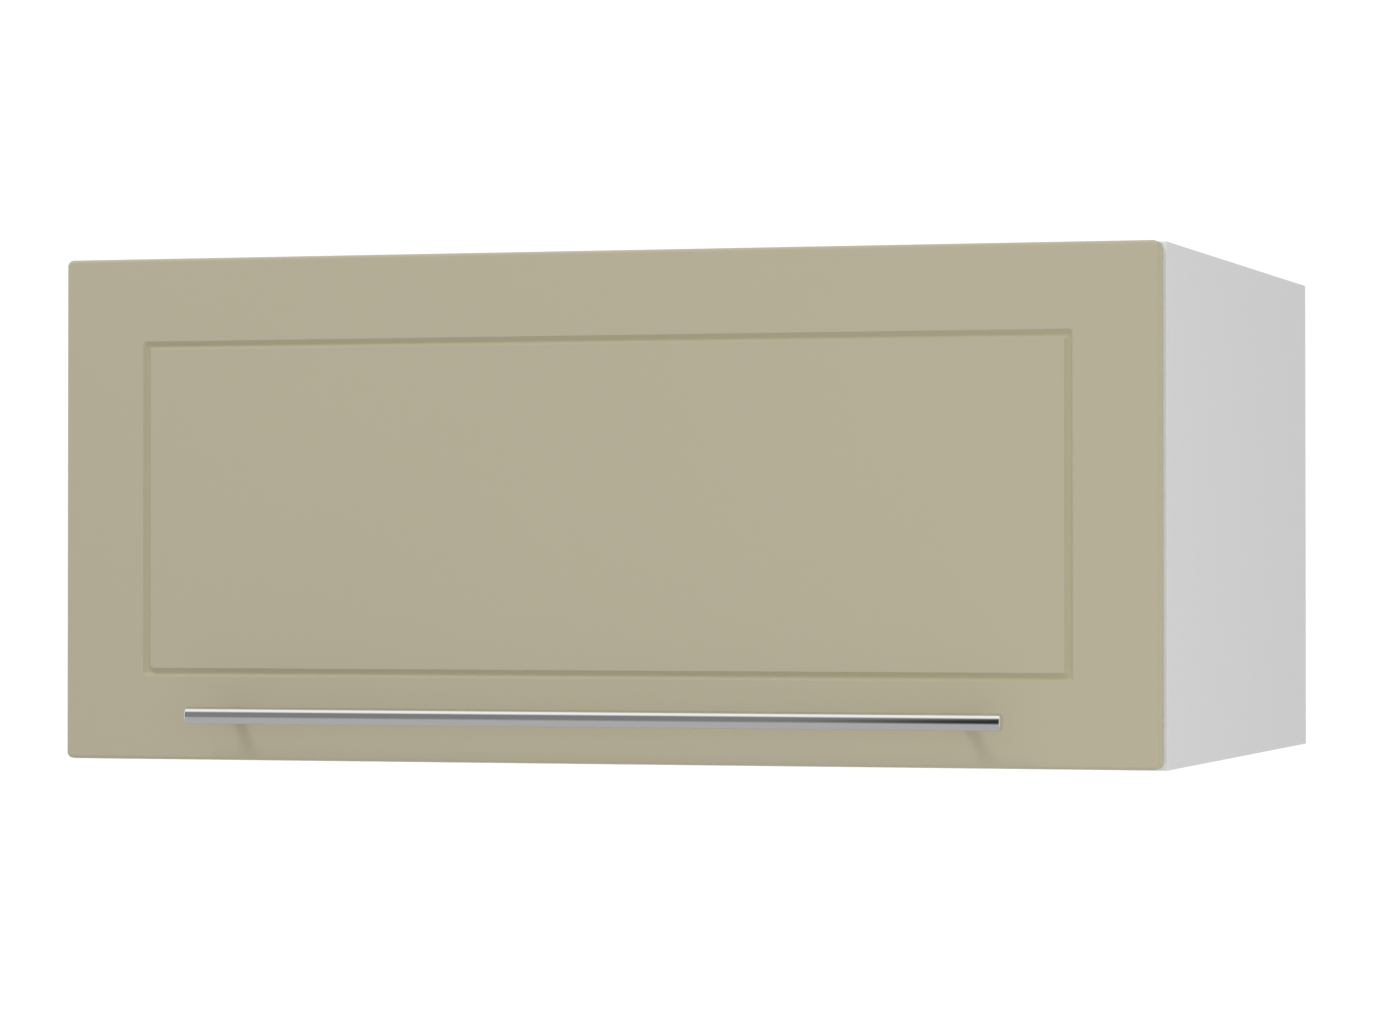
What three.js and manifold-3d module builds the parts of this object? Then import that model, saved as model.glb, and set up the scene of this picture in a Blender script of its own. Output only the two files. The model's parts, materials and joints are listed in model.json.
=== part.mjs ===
// Lift-up wall cabinet: a white board carcass, a grooved foil-wrapped door hung on two
// concealed cup hinges at its top edge, a pair of lever lift mechanisms that carry the open
// door, a bar handle, and adjustable hangers in the upper rear corners.
//
// Millimetres. +X is the width, +Y points to the wall, +Z is up. The origin is the middle of
// the top panel's rear edge, on the wall plane. The door is modelled closed.

import * as THREE from 'three';
import { mergeVertices } from 'three/addons/utils/BufferGeometryUtils.js';
import Module from 'manifold-3d';

// ---------------------------------------------------------------- driving dimensions

// carcass
const carcassWidth = 800;
const carcassHeight = 358;
const carcassDepth = 556;
const boardThickness = 16;
const backThickness = 3;
const backInset = 18;             // from the carcass's rear edges to the back panel
const backGrooveDepth = 8;
const backNotchWidth = 34;        // corner cut-out that lets a hanger reach the wall
const backNotchHeight = 76;

// door
const doorThickness = 16;
const doorGap = 2;                // between door and carcass
const doorSideReveal = 2;
const doorBottomReveal = 1;
const doorCornerRadius = 4.5;
const doorEdgeRadius = 2.5;
const grooveInset = 62;           // door edge to the middle of the routed groove
const grooveHalfWidth = 3;
const grooveDepth = 1.8;
const grooveOuterCorner = 0.8;
const grooveInnerCorner = 4;
const grooveSteps = 8;            // facets across the groove's cosine section
const grooveCornerSteps = 5;

// bar handle
const barLength = 590;
const barRadius = 6;
const barChamfer = 0.8;
const barStandOff = 24;           // door face to bar axis
const barAboveDoorBottom = 32;
const postFromBarEnd = 29;
const postRadius = 4;
const postFootRadius = 5;
const postFootLength = 3;
const handleScrewRadius = 2;
const handleScrewBite = 9;        // length of screw inside a post
const handleScrewHeadRadius = 4;
const handleScrewHeadHeight = 2.4;

// cup hinges: the door turns about one line near its top edge
const axisBelowDoorTop = 6;
const axisBehindDoorFront = 5.5;
const hingeFromSide = 100;        // cabinet side to the middle of a hinge
const cupRadius = 17.3;
const cupWall = 1;
const cupDepth = 12.8;
const cupEdgeDistance = 3;        // door's top edge to the cup bore
const cupRimRadius = 18.2;
const cupFlangeThickness = 1;
const cupFlangeHeight = 21;
const cupFlangeCorner = 5;
const cupFlangeDrop = 6;          // flange centre below the cup centre
const cupScrewSpacing = 45;
const cupScrewMargin = 3.5;       // screw to the flange's end
const cupScrewDrop = 9.5;
const cupScrewRadius = 2.2;
const cheekInside = 7.8;          // the cup's cheeks stand either side of the links
const cheekThickness = 1.4;
const cheekHeight = 8;
const hingePinRadius = 1.2;
const armWidth = 19.2;
const armWall = 1.2;
const armRearReach = 81;          // hinge axis to the arm's rear end
const armWebReach = 30;           // hinge axis to the front end of the arm's web
const armNose = 2.3;              // metal round the two pins in the arm's nose
const armShoulder = 4;            // how far the cheeks rise in front of the web
const armSlotReach = [50, 68];    // hinge axis to the ends of the slot in the web
const armSlotRadius = 2.6;
const plateSetback = 37;          // carcass front to the plate's screw line
const plateWingLength = 20;
const plateWingThickness = 2;
const plateWingCorner = 6;
const plateSpineLength = 44;
const plateSpineHeight = 6.2;
const plateScrewSpacing = 32;
const plateScrewMargin = 6;       // screw to the wing's end
const plateScrewRadius = 2.2;
const outerArmPin = [7.5, -25];   // pin places [y, z] from the hinge axis
const outerCupPin = [1.9, -1.6];
const innerArmPin = [15.5, -20];
const innerCupPin = [6, -1.6];
const outerLinkKnee = [0.4, -11.4];
const innerLinkKnee = [5.2, -6.8];
const outerLinkWidth = 13.2;
const outerLinkWall = 1.4;
const innerLinkWidth = 8.4;
const linkEyeWall = 1;
const linkBarHalf = 1.1;          // half the bar height of a hinge link

// lift mechanism: a parallelogram of arm and link beside the hinge axis
const liftArmPivot = [70, -61];   // [y, z] from the hinge axis
const liftDoorPin = [22.5, -100];
const liftBodyLength = 172;
const liftBodyHeight = 124;
const liftBodyThickness = 18;
const liftBodyCorner = 14;
const liftPivotFromFront = 38;    // body front to arm pivot
const liftPivotFromTop = 32;      // body top to arm pivot
const liftCoverThickness = 3;
const liftCoverInset = 3;
const liftCoverEdge = 1.2;        // chamfer round the cover's face
const liftThumbRadius = 9;        // notch at the cover's rear edge that a finger lifts it by
const liftAdjusterRadius = 4.5;   // bore in the body's front for setting the spring
const liftAdjusterDepth = 9;
const liftAdjusterDrop = 70;      // body top to the adjuster
const liftPlateThickness = 3;     // arm, link and bracket ear
const liftArmHalfWidth = 11;
const liftLinkHalfWidth = 7;
const liftArmSlot = [0.3, 0.72];  // ends of the arm's slot, as shares of its length
const liftArmSlotRadius = 4;
const liftPivotRadius = 5;
const liftPinRadius = 4;
const bracketFootWidth = 20;
const bracketFootThickness = 2.4;
const bracketFootCorner = 3;
const bracketEarHalfWidth = 9;
const bracketScrewSpacing = 32;
const bracketScrewMargin = 12;    // screw to the foot's end

// cam fittings
const camRadius = 7.2;
const camHeight = 12;
const camFromEnd = 34;            // panel end to cam centre
const camFromEdge = 64;           // front or rear edge to cam centre
const boltHeadRadius = 3.2;
const boltHeadLength = 3;
const boltNeckEnd = 7.5;          // bolt's head end to the end of its neck
const boltShoulderStart = 8.5;
const boltHeadTaper = 0.6;
const boltNeckRadius = 1.8;
const boltShoulderRadius = 3.4;
const boltThreadRadius = 2.4;
const boltThreadLength = 10;
const boltPoint = 1;

// hangers
const hangerDepth = 60;
const hangerHeight = 58;
const hangerWidth = 16;
const hangerFromTop = 8;          // top panel's underside to the housing
const hangerFromRear = 24;        // wall plane to the housing
const hangerWall = 4;
const hangerFaceWall = 3;
const hangerFrontWall = 6;
const hangerCorner = 3;
const hangerAccessRadius = 3.4;   // slot for the driver that turns the depth screw
const hangerBoreDepth = 5;        // blind bore that the height screw turns in
const carriageHeight = 30;
const carriageLength = 44;
const carriageThickness = 9.4;
const carriageTravel = 5;         // up or down
const hookThickness = 5;
const hookHeight = 12;
const hookTail = 34;              // hook length inside the carriage
const hookLip = 5;
const hookLipDrop = 14;
const hookLipNose = 2;
const hookNose = 4;               // chamfer at the hook's upper rear corner
const hookSeatLength = 13;        // recess that bears on the wall rail's upper edge
const hookSeatDepth = 1;
const hookDrawIn = 5;
const hookLetOut = 2;
const hookBoreLength = 18;
const depthScrewBite = 8;         // length of screw inside the hook
const hookFromWall = 4;
const hangerScrewRadius = 1.8;
const hangerScrewHeadRadius = 4;
const hangerScrewHeadHeight = 3;
const heightScrewFromTop = 8;
const heightScrewSink = 1;

// door bumpers
const bumperRadius = 4;
const bumperThickness = 1.6;
const bumperInset = 12;

// clearances
const seatGap = 0.2;              // between boards and seated pieces
const boreGap = 0.3;              // round a pin, bolt or cam
const slideGap = 0.3;             // either side of a sliding piece
const overrun = 1;                // how far a cutting tool runs past a face

// ---------------------------------------------------------------- derived places

const cabinetTop = boardThickness / 2;
const cabinetBottom = cabinetTop - carcassHeight;
const topInner = cabinetTop - boardThickness;
const bottomInner = cabinetBottom + boardThickness;
const sideInner = carcassWidth / 2 - boardThickness;
const panelEnd = sideInner - seatGap;
const carcassFront = -carcassDepth;
const doorRear = carcassFront - doorGap;
const doorFront = doorRear - doorThickness;
const doorTop = cabinetTop;
const doorBottom = cabinetBottom + doorBottomReveal;
const doorWidth = carcassWidth - 2 * doorSideReveal;
const axisY = doorFront + axisBehindDoorFront;
const axisZ = doorTop - axisBelowDoorTop;
const cupBoreRadius = cupRadius + seatGap;
const cupCentre = doorTop - cupEdgeDistance - cupBoreRadius;
const cupFlangeWidth = cupScrewSpacing + 2 * cupScrewMargin;
const plateWingSpan = plateScrewSpacing + 2 * plateScrewMargin;
const hingeX = carcassWidth / 2 - hingeFromSide;
const barY = doorFront - barStandOff;
const barZ = doorBottom + barAboveDoorBottom;
const postX = barLength / 2 - postFromBarEnd;
const backRear = -backInset;
const backFront = backRear - backThickness;
const bracketFootLength = bracketScrewSpacing + 2 * bracketScrewMargin;
const liftFace = sideInner - seatGap - liftBodyThickness;
const coverFace = liftFace - seatGap - liftCoverThickness;
const armLane = [coverFace - boreGap, coverFace - boreGap - liftPlateThickness];
const linkLane = [armLane[1] - boreGap, armLane[1] - boreGap - liftPlateThickness];

const LEFT = -1;
const RIGHT = 1;
const sides = [[LEFT, 'left'], [RIGHT, 'right']];

const fineRound = 32;
const plainRound = 16;
const smallRound = 12;
const boltRound = 10;
const eyeSteps = 6;               // facets in half a turn of a lever's end
const cornerSteps = 4;

// ---------------------------------------------------------------- finishes

const finish = (color, roughness, metalness) => () => (
  new THREE.MeshStandardMaterial({ color, roughness, metalness })
);
const doorFoil = finish(0xb3ae97, 0.62, 0);
const whiteBoard = finish(0xe6e6e4, 0.5, 0);
const backBoard = finish(0xe0e0dc, 0.6, 0);
const brushedMetal = finish(0xb9bbbd, 0.3, 1);
const nickelSteel = finish(0xa9abad, 0.35, 1);
const zincMetal = finish(0x9c9fa3, 0.4, 1);
const greyPlastic = finish(0x8d9093, 0.5, 0);
const whitePlastic = finish(0xdcdcd8, 0.45, 0);
const clearPad = finish(0xd8dad6, 0.3, 0);

// ---------------------------------------------------------------- solid helpers

const wasm = await Module();
wasm.setup();

function toSolid(geometry) {
  const bare = geometry.clone();
  bare.deleteAttribute('normal');
  bare.deleteAttribute('uv');
  const merged = mergeVertices(bare, 1e-5);
  return new wasm.Manifold(new wasm.Mesh({
    numProp: 3,
    vertProperties: new Float32Array(merged.attributes.position.array),
    triVerts: new Uint32Array(merged.index.array),
  }));
}

function toGeometry(solid) {
  const mesh = solid.getMesh();
  const geometry = new THREE.BufferGeometry();
  geometry.setAttribute('position', new THREE.BufferAttribute(new Float32Array(mesh.vertProperties), 3));
  geometry.setIndex(new THREE.BufferAttribute(new Uint32Array(mesh.triVerts), 1));
  geometry.computeVertexNormals();
  return geometry;
}

function cut(body, ...tools) {
  const whole = toSolid(body);
  return toGeometry(tools.reduce((left, tool) => left.subtract(toSolid(tool)), whole));
}

function fuse(first, ...others) {
  const start = toSolid(first);
  return toGeometry(others.reduce((sum, other) => sum.add(toSolid(other)), start));
}

// A box between two values on each axis, given in either order.
function box([x0, x1], [y0, y1], [z0, z1]) {
  const geometry = new THREE.BoxGeometry(Math.abs(x1 - x0), Math.abs(y1 - y0), Math.abs(z1 - z0));
  return geometry.translate((x0 + x1) / 2, (y0 + y1) / 2, (z0 + z1) / 2);
}

// Turns a shape drawn in u, v and carried along w into one with u on Y, v on Z and w on X.
const acrossX = new THREE.Matrix4().makeBasis(
  new THREE.Vector3(0, 1, 0), new THREE.Vector3(0, 0, 1), new THREE.Vector3(1, 0, 0));

function extruded(outline, start, end, curveSegments) {
  const depth = Math.abs(end - start);
  return new THREE.ExtrudeGeometry(outline, { depth, bevelEnabled: false, curveSegments });
}

// Prisms: an outline drawn across one axis and carried along it between two values.
function prismX(outline, x0, x1, steps = plainRound) {
  return extruded(outline, x0, x1, steps).applyMatrix4(acrossX).translate(Math.min(x0, x1), 0, 0);
}

function prismY(outline, y0, y1, steps = plainRound) {
  return extruded(outline, y0, y1, steps).rotateX(Math.PI / 2).translate(0, Math.max(y0, y1), 0);
}

function prismZ(outline, z0, z1, steps = plainRound) {
  return extruded(outline, z0, z1, steps).translate(0, 0, Math.min(z0, z1));
}

// Rods along one axis, from value a to value b, at [u, v] on the other two axes.
function rodX(radius, a, b, [y, z], round = plainRound) {
  const geometry = new THREE.CylinderGeometry(radius, radius, Math.abs(b - a), round);
  return geometry.rotateZ(Math.PI / 2).translate((a + b) / 2, y, z);
}

function rodY(radius, a, b, [x, z], round = plainRound) {
  const geometry = new THREE.CylinderGeometry(radius, radius, Math.abs(b - a), round);
  return geometry.translate(x, (a + b) / 2, z);
}

function rodZ(radius, a, b, [x, y], round = plainRound) {
  const geometry = new THREE.CylinderGeometry(radius, radius, Math.abs(b - a), round);
  return geometry.rotateX(Math.PI / 2).translate(x, y, (a + b) / 2);
}

function polygon(points) {
  return new THREE.Shape(points.map(([u, v]) => new THREE.Vector2(u, v)));
}

function roundedRectangle([u0, u1], [v0, v1], radius) {
  const outline = new THREE.Shape();
  outline.absarc(u1 - radius, v1 - radius, radius, 0, Math.PI / 2);
  outline.absarc(u0 + radius, v1 - radius, radius, Math.PI / 2, Math.PI);
  outline.absarc(u0 + radius, v0 + radius, radius, Math.PI, 1.5 * Math.PI);
  outline.absarc(u1 - radius, v0 + radius, radius, 1.5 * Math.PI, 2 * Math.PI);
  outline.closePath();
  return outline;
}

// The outline of a bar with round ends about two pin places.
function linkOutline([u0, v0], [u1, v1], radius) {
  const along = Math.atan2(v1 - v0, u1 - u0);
  const outline = new THREE.Shape();
  outline.absarc(u0, v0, radius, along + Math.PI / 2, along + 1.5 * Math.PI);
  outline.absarc(u1, v1, radius, along - Math.PI / 2, along + Math.PI / 2);
  outline.closePath();
  return outline;
}

function named(name, geometry, material) {
  const mesh = new THREE.Mesh(geometry, material());
  mesh.name = name;
  return mesh;
}

function group(...members) {
  const holder = new THREE.Group();
  holder.add(...members);
  return holder;
}

const shift = ([y, z]) => [axisY + y, axisZ + z];

// ---------------------------------------------------------------- carcass

// The places of the cam fittings: which panel, which side, front or rear.
const camPlaces = [];
for (const [side, sideName] of sides) {
  for (const [panel, inner, outward] of [['top', topInner, 1], ['bottom', bottomInner, -1]]) {
    for (const [depthName, y] of [['front', carcassFront + camFromEdge], ['rear', -camFromEdge]]) {
      camPlaces.push({
        side,
        panel,
        inner,
        outward,
        y,
        x: side * (panelEnd - camFromEnd),
        boltZ: inner + outward * boardThickness / 2,
        name: `${panel}_${sideName}_${depthName}`,
      });
    }
  }
}

function backGroove(span, zRange) {
  return box(span, [backFront - slideGap, backRear + slideGap], zRange);
}

function sidePanel(side, name) {
  const outer = side * carcassWidth / 2;
  const inner = side * sideInner;
  const board = box([inner, outer], [carcassFront, 0], [cabinetBottom, cabinetTop]);
  const grooveFloor = inner + side * backGrooveDepth;
  const start = inner - side * overrun;
  const groove = backGroove([start, grooveFloor], [
    bottomInner - backGrooveDepth, topInner + backGrooveDepth]);
  const bores = camPlaces.filter((place) => place.side === side).map((place) => rodX(
    boltThreadRadius + boreGap, start, inner + side * (boltThreadLength + boltPoint),
    [place.y, place.boltZ], smallRound));
  return named(name, cut(board, groove, ...bores), whiteBoard);
}

function crossPanel(panel, name) {
  const isTop = panel === 'top';
  const zRange = isTop ? [topInner, cabinetTop] : [cabinetBottom, bottomInner];
  const inner = isTop ? topInner : bottomInner;
  const outward = isTop ? 1 : -1;
  const board = box([-panelEnd, panelEnd], [carcassFront, 0], zRange);
  const start = inner - outward * overrun;
  const groove = backGroove(
    [-panelEnd - overrun, panelEnd + overrun], [start, inner + outward * backGrooveDepth]);
  const tools = [groove];
  for (const place of camPlaces.filter((candidate) => candidate.panel === panel)) {
    tools.push(rodZ(camRadius + boreGap, start, inner + outward * (camHeight + boreGap),
      [place.x, place.y]));
    tools.push(rodX(boltShoulderRadius + boreGap, place.x, place.side * (panelEnd + overrun),
      [place.y, place.boltZ], smallRound));
  }
  return named(name, cut(board, ...tools), whiteBoard);
}

function backPanel() {
  const reach = backGrooveDepth - boreGap;
  const halfWidth = sideInner + reach;
  const high = topInner + reach;
  const low = bottomInner - reach;
  const notchX = sideInner - backNotchWidth;
  const notchZ = topInner - backNotchHeight;
  const outline = polygon([
    [-halfWidth, low], [halfWidth, low], [halfWidth, notchZ], [notchX, notchZ], [notchX, high],
    [-notchX, high], [-notchX, notchZ], [-halfWidth, notchZ],
  ]);
  return named('back_panel', prismY(outline, backFront, backRear), backBoard);
}

// An eccentric cam: a drum with a radial slot for the bolt's head.
function cam(place) {
  const { x, y, inner, outward, side } = place;
  const drum = rodZ(camRadius, inner, inner + outward * camHeight, [x, y]);
  const pocket = rodX(boltHeadRadius + boreGap, x - side * boltHeadRadius, x + side * 2 * camRadius,
    [y, place.boltZ], smallRound);
  return named(`cam_${place.name}`, cut(drum, pocket), zincMetal);
}

// A cam bolt: head in the cam, neck, shoulder in the panel and thread in the side board.
function camBolt(place) {
  const reach = camFromEnd + seatGap;
  const profile = [
    [0, 0], [boltHeadRadius, 0], [boltHeadRadius, boltHeadLength],
    [boltNeckRadius, boltHeadLength + boltHeadTaper], [boltNeckRadius, boltNeckEnd],
    [boltShoulderRadius, boltShoulderStart], [boltShoulderRadius, reach - boreGap],
    [boltThreadRadius, reach - boreGap], [boltThreadRadius, reach + boltThreadLength - boltPoint],
    [0, reach + boltThreadLength],
  ];
  const geometry = new THREE.LatheGeometry(profile.map(([r, h]) => new THREE.Vector2(r, h)), boltRound);
  geometry.rotateZ(-place.side * Math.PI / 2);
  const bolt = named(`cam_bolt_${place.name}`, geometry, nickelSteel);
  bolt.position.set(place.x, place.y, place.boltZ);
  return bolt;
}

// ---------------------------------------------------------------- door

function roundedLoop(halfWidth, halfHeight, radius, stepsPerCorner) {
  const points = [];
  const corners = [[1, 1, 0], [-1, 1, 1], [-1, -1, 2], [1, -1, 3]];
  for (const [sx, sz, quarter] of corners) {
    for (let step = 0; step <= stepsPerCorner; step += 1) {
      const angle = (quarter + step / stepsPerCorner) * Math.PI / 2;
      points.push([
        sx * (halfWidth - radius) + radius * Math.cos(angle),
        sz * (halfHeight - radius) + radius * Math.sin(angle),
      ]);
    }
  }
  return points;
}

// The groove cutter: a ring whose section falls in a cosine from the face to the groove floor.
function grooveCutter(halfWidth, halfHeight, faceY, middleZ) {
  const section = [];
  for (let step = 0; step <= grooveSteps; step += 1) {
    const offset = grooveHalfWidth * (2 * step / grooveSteps - 1);
    section.push([offset, grooveDepth * (1 + Math.cos(Math.PI * offset / grooveHalfWidth)) / 2]);
  }
  section.push([grooveHalfWidth, -overrun], [-grooveHalfWidth, -overrun]);
  const loops = section.map(([offset, depth]) => {
    const share = (grooveHalfWidth - offset) / (2 * grooveHalfWidth);
    const radius = grooveOuterCorner + share * (grooveInnerCorner - grooveOuterCorner);
    const loop = roundedLoop(halfWidth + offset, halfHeight + offset, radius, grooveCornerSteps);
    return loop.map(([x, z]) => [x, faceY + depth, middleZ + z]);
  });
  return closedSkin(loops);
}

// Joins loops of equal length into a ring-shaped closed skin.
function closedSkin(loops) {
  const count = loops[0].length;
  const index = [];
  loops.forEach((_, row) => {
    const next = (row + 1) % loops.length;
    for (let column = 0; column < count; column += 1) {
      const beside = (column + 1) % count;
      const a = row * count + column;
      const b = row * count + beside;
      const c = next * count + beside;
      const d = next * count + column;
      index.push(a, c, b, a, d, c);
    }
  });
  const geometry = new THREE.BufferGeometry();
  geometry.setAttribute('position', new THREE.Float32BufferAttribute(loops.flat(2), 3));
  geometry.setIndex(index);
  return geometry;
}

function doorPanel() {
  const half = doorWidth / 2;
  const outline = roundedRectangle(
    [-half + doorEdgeRadius, half - doorEdgeRadius],
    [doorBottom + doorEdgeRadius, doorTop - doorEdgeRadius],
    doorCornerRadius - doorEdgeRadius);
  const slab = new THREE.ExtrudeGeometry(outline, {
    depth: doorThickness,
    bevelThickness: doorEdgeRadius,
    bevelSize: doorEdgeRadius,
    bevelSegments: cornerSteps,
    curveSegments: cornerSteps,
  });
  slab.rotateX(Math.PI / 2).translate(0, doorFront + doorEdgeRadius + doorThickness, 0);
  const behind = box([-half - overrun, half + overrun], [doorRear, doorRear + doorThickness],
    [doorBottom - overrun, doorTop + overrun]);
  const middleZ = (doorTop + doorBottom) / 2;
  const groove = grooveCutter(
    half - grooveInset, (doorTop - doorBottom) / 2 - grooveInset, doorFront, middleZ);
  const tools = [behind, groove];
  for (const [side] of sides) {
    tools.push(rodY(cupBoreRadius, doorRear + overrun, doorRear - cupDepth - seatGap,
      [side * hingeX, cupCentre], fineRound));
    tools.push(rodY(handleScrewRadius + boreGap, doorRear + overrun, doorFront - overrun,
      [side * postX, barZ], smallRound));
  }
  return named('door_panel', cut(slab, ...tools), doorFoil);
}

function handleBar() {
  const half = barLength / 2;
  const profile = [
    [0, -half], [barRadius - barChamfer, -half], [barRadius, barChamfer - half],
    [barRadius, half - barChamfer], [barRadius - barChamfer, half], [0, half],
  ];
  const geometry = new THREE.LatheGeometry(profile.map(([r, h]) => new THREE.Vector2(r, h)), fineRound);
  geometry.rotateZ(-Math.PI / 2);
  const bar = named('handle_bar', geometry, brushedMetal);
  bar.position.set(0, barY, barZ);
  return bar;
}

// A post: a foot on the door, a neck and a saddle end against the bar.
function handlePost(side, name) {
  const x = side * postX;
  const foot = rodY(postFootRadius, doorFront - seatGap, doorFront - postFootLength, [x, barZ]);
  const neck = rodY(postRadius, doorFront - postFootLength / 2, barY, [x, barZ]);
  const saddle = rodX(barRadius + seatGap, x - barRadius, x + barRadius, [barY, barZ], fineRound);
  const hole = rodY(handleScrewRadius + boreGap, doorFront, doorFront - handleScrewBite - overrun,
    [x, barZ], smallRound);
  return named(name, cut(fuse(foot, neck), saddle, hole), brushedMetal);
}

function handleScrew(side, name) {
  const x = side * postX;
  const head = rodY(handleScrewHeadRadius, doorRear + seatGap, doorRear + handleScrewHeadHeight, [x, barZ]);
  const shank = rodY(handleScrewRadius, doorRear + handleScrewHeadHeight / 2, doorFront - handleScrewBite,
    [x, barZ], smallRound);
  return named(name, fuse(head, shank), nickelSteel);
}

function doorBumper(side, name) {
  const place = [side * (doorWidth / 2 - bumperInset + bumperRadius), doorBottom + bumperInset];
  const pad = rodY(bumperRadius, doorRear + seatGap, doorRear + bumperThickness, place, plainRound);
  return named(name, pad, clearPad);
}

// ---------------------------------------------------------------- cup hinges
// Each hinge is drawn about its own x and the turning line of the door.

function hingeCup(name) {
  const rear = doorRear - axisY;
  const centre = [0, cupCentre - axisZ];
  const middle = centre[1] - cupFlangeDrop;
  const flange = prismY(roundedRectangle(
    [-cupFlangeWidth / 2, cupFlangeWidth / 2],
    [middle - cupFlangeHeight / 2, middle + cupFlangeHeight / 2], cupFlangeCorner),
  rear + seatGap, rear + cupFlangeThickness, cornerSteps);
  const rim = rodY(cupRimRadius, rear + seatGap, rear + cupFlangeThickness, centre, fineRound);
  const shell = rodY(cupRadius, rear + cupFlangeThickness, rear - cupDepth, centre, fineRound);
  const floor = rear - cupDepth + cupWall;
  const outside = rear + cupFlangeThickness + overrun;
  const hollow = rodY(cupRadius - cupWall, outside, floor, centre, fineRound);
  const holes = [LEFT, RIGHT].map((side) => rodY(cupScrewRadius, rear - overrun, outside,
    [side * cupScrewSpacing / 2, centre[1] - cupScrewDrop], smallRound));
  const cheekTop = outerCupPin[1] + hingePinRadius;
  const cheeks = [LEFT, RIGHT].map((side) => box(
    [side * cheekInside, side * (cheekInside + cheekThickness)],
    [floor - cupWall / 2, rear - cupWall], [cheekTop - cheekHeight, cheekTop]));
  const open = cut(fuse(flange, rim, shell), hollow, ...holes);
  return named(name, fuse(open, ...cheeks), nickelSteel);
}

// The arm: a channel over the mounting plate with a slot for its screw, and a nose of two
// ears and two pins.
function hingeArm(name) {
  const underside = topInner - axisZ;
  const webTop = underside - plateSpineHeight - 2 * seatGap;
  const webLow = webTop - armWall;
  const high = underside - 2 * seatGap - plateWingThickness - slideGap;
  const half = armWidth / 2;
  const [outerY, outerZ] = outerArmPin;
  const [innerY, innerZ] = innerArmPin;
  const cheek = polygon([
    [armRearReach, high], [armRearReach, webLow], [armWebReach, webLow],
    [outerY + armNose / 2, outerZ - armNose], [outerY - armNose, outerZ - armNose / 2],
    [outerY - armNose / 2, outerZ + armNose], [innerY - armNose, innerZ + armNose],
    [armWebReach - armShoulder, high],
  ]);
  const parts = [LEFT, RIGHT].map((side) => prismX(cheek, side * half, side * (half - armWall)));
  const web = box([-half, half], [armWebReach, armRearReach], [webLow, webTop]);
  const [slotFront, slotRear] = armSlotReach;
  const slot = prismZ(linkOutline([0, slotFront], [0, slotRear], armSlotRadius),
    webLow - overrun, webTop + overrun, eyeSteps);
  parts.push(cut(web, slot));
  parts.push(rodX(hingePinRadius, -half + armWall / 2, half - armWall / 2, outerArmPin, smallRound));
  parts.push(rodX(hingePinRadius, -half + armWall / 2, half - armWall / 2, innerArmPin, smallRound));
  return named(name, fuse(...parts), nickelSteel);
}

function hingePlate(name) {
  const underside = topInner - axisZ - seatGap;
  const middleY = carcassFront + plateSetback - axisY;
  const wingHalf = plateWingSpan / 2;
  const spineHalf = armWidth / 2 - armWall - slideGap;
  const wings = prismZ(roundedRectangle([-wingHalf, wingHalf],
    [middleY - plateWingLength / 2, middleY + plateWingLength / 2], plateWingCorner),
  underside - plateWingThickness, underside, cornerSteps);
  const spine = box([-spineHalf, spineHalf],
    [middleY - plateSpineLength / 3, middleY + 2 * plateSpineLength / 3],
    [underside - plateSpineHeight + seatGap, underside]);
  const holes = [LEFT, RIGHT].map((side) => rodZ(plateScrewRadius, underside - plateSpineHeight,
    underside + overrun, [side * plateScrewSpacing / 2, middleY], smallRound));
  return named(name, cut(fuse(wings, spine), ...holes), zincMetal);
}

// A cranked bar through a knee, from the arm's pin to the cup's.
function crankedBar(armPin, knee, cupPin, x0, x1) {
  return fuse(
    prismX(linkOutline(armPin, knee, linkBarHalf), x0, x1, smallRound / 2),
    prismX(linkOutline(knee, cupPin, linkBarHalf), x0, x1, smallRound / 2));
}

// A hinge link: bars with a barrel on the arm's pin and a plain pin inside the cup.
function hingeLink(name, bars, width, armPin, cupPin) {
  const half = width / 2;
  const barrel = rodX(hingePinRadius + boreGap + linkEyeWall, -half, half, armPin, smallRound);
  const tip = rodX(hingePinRadius, -half, half, cupPin, smallRound);
  const bore = rodX(hingePinRadius + boreGap, -half - overrun, half + overrun, armPin, smallRound);
  return named(name, cut(fuse(...bars, barrel, tip), bore), nickelSteel);
}

// The outer link has two side bars, and the inner link passes between them.
function outerLink(name) {
  const half = outerLinkWidth / 2;
  const bars = [LEFT, RIGHT].map((side) => crankedBar(
    outerArmPin, outerLinkKnee, outerCupPin, side * half, side * (half - outerLinkWall)));
  return hingeLink(name, bars, outerLinkWidth, outerArmPin, outerCupPin);
}

function innerLink(name) {
  const half = innerLinkWidth / 2;
  const bar = crankedBar(innerArmPin, innerLinkKnee, innerCupPin, -half, half);
  return hingeLink(name, [bar], innerLinkWidth, innerArmPin, innerCupPin);
}

function hinge(side, sideName) {
  const assembly = group(
    hingeCup(`hinge_cup_${sideName}`),
    hingeArm(`hinge_arm_${sideName}`),
    hingePlate(`hinge_plate_${sideName}`),
    outerLink(`hinge_outer_link_${sideName}`),
    innerLink(`hinge_inner_link_${sideName}`));
  assembly.position.set(side * hingeX, axisY, axisZ);
  return assembly;
}

// ---------------------------------------------------------------- lift mechanism

const liftPivot = shift(liftArmPivot);
const doorPin = shift(liftDoorPin);
const elbow = [liftPivot[0] + liftDoorPin[0], liftPivot[1] + liftDoorPin[1]];
const liftFront = liftPivot[0] - liftPivotFromFront;
const liftTop = liftPivot[1] + liftPivotFromTop;

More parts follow.
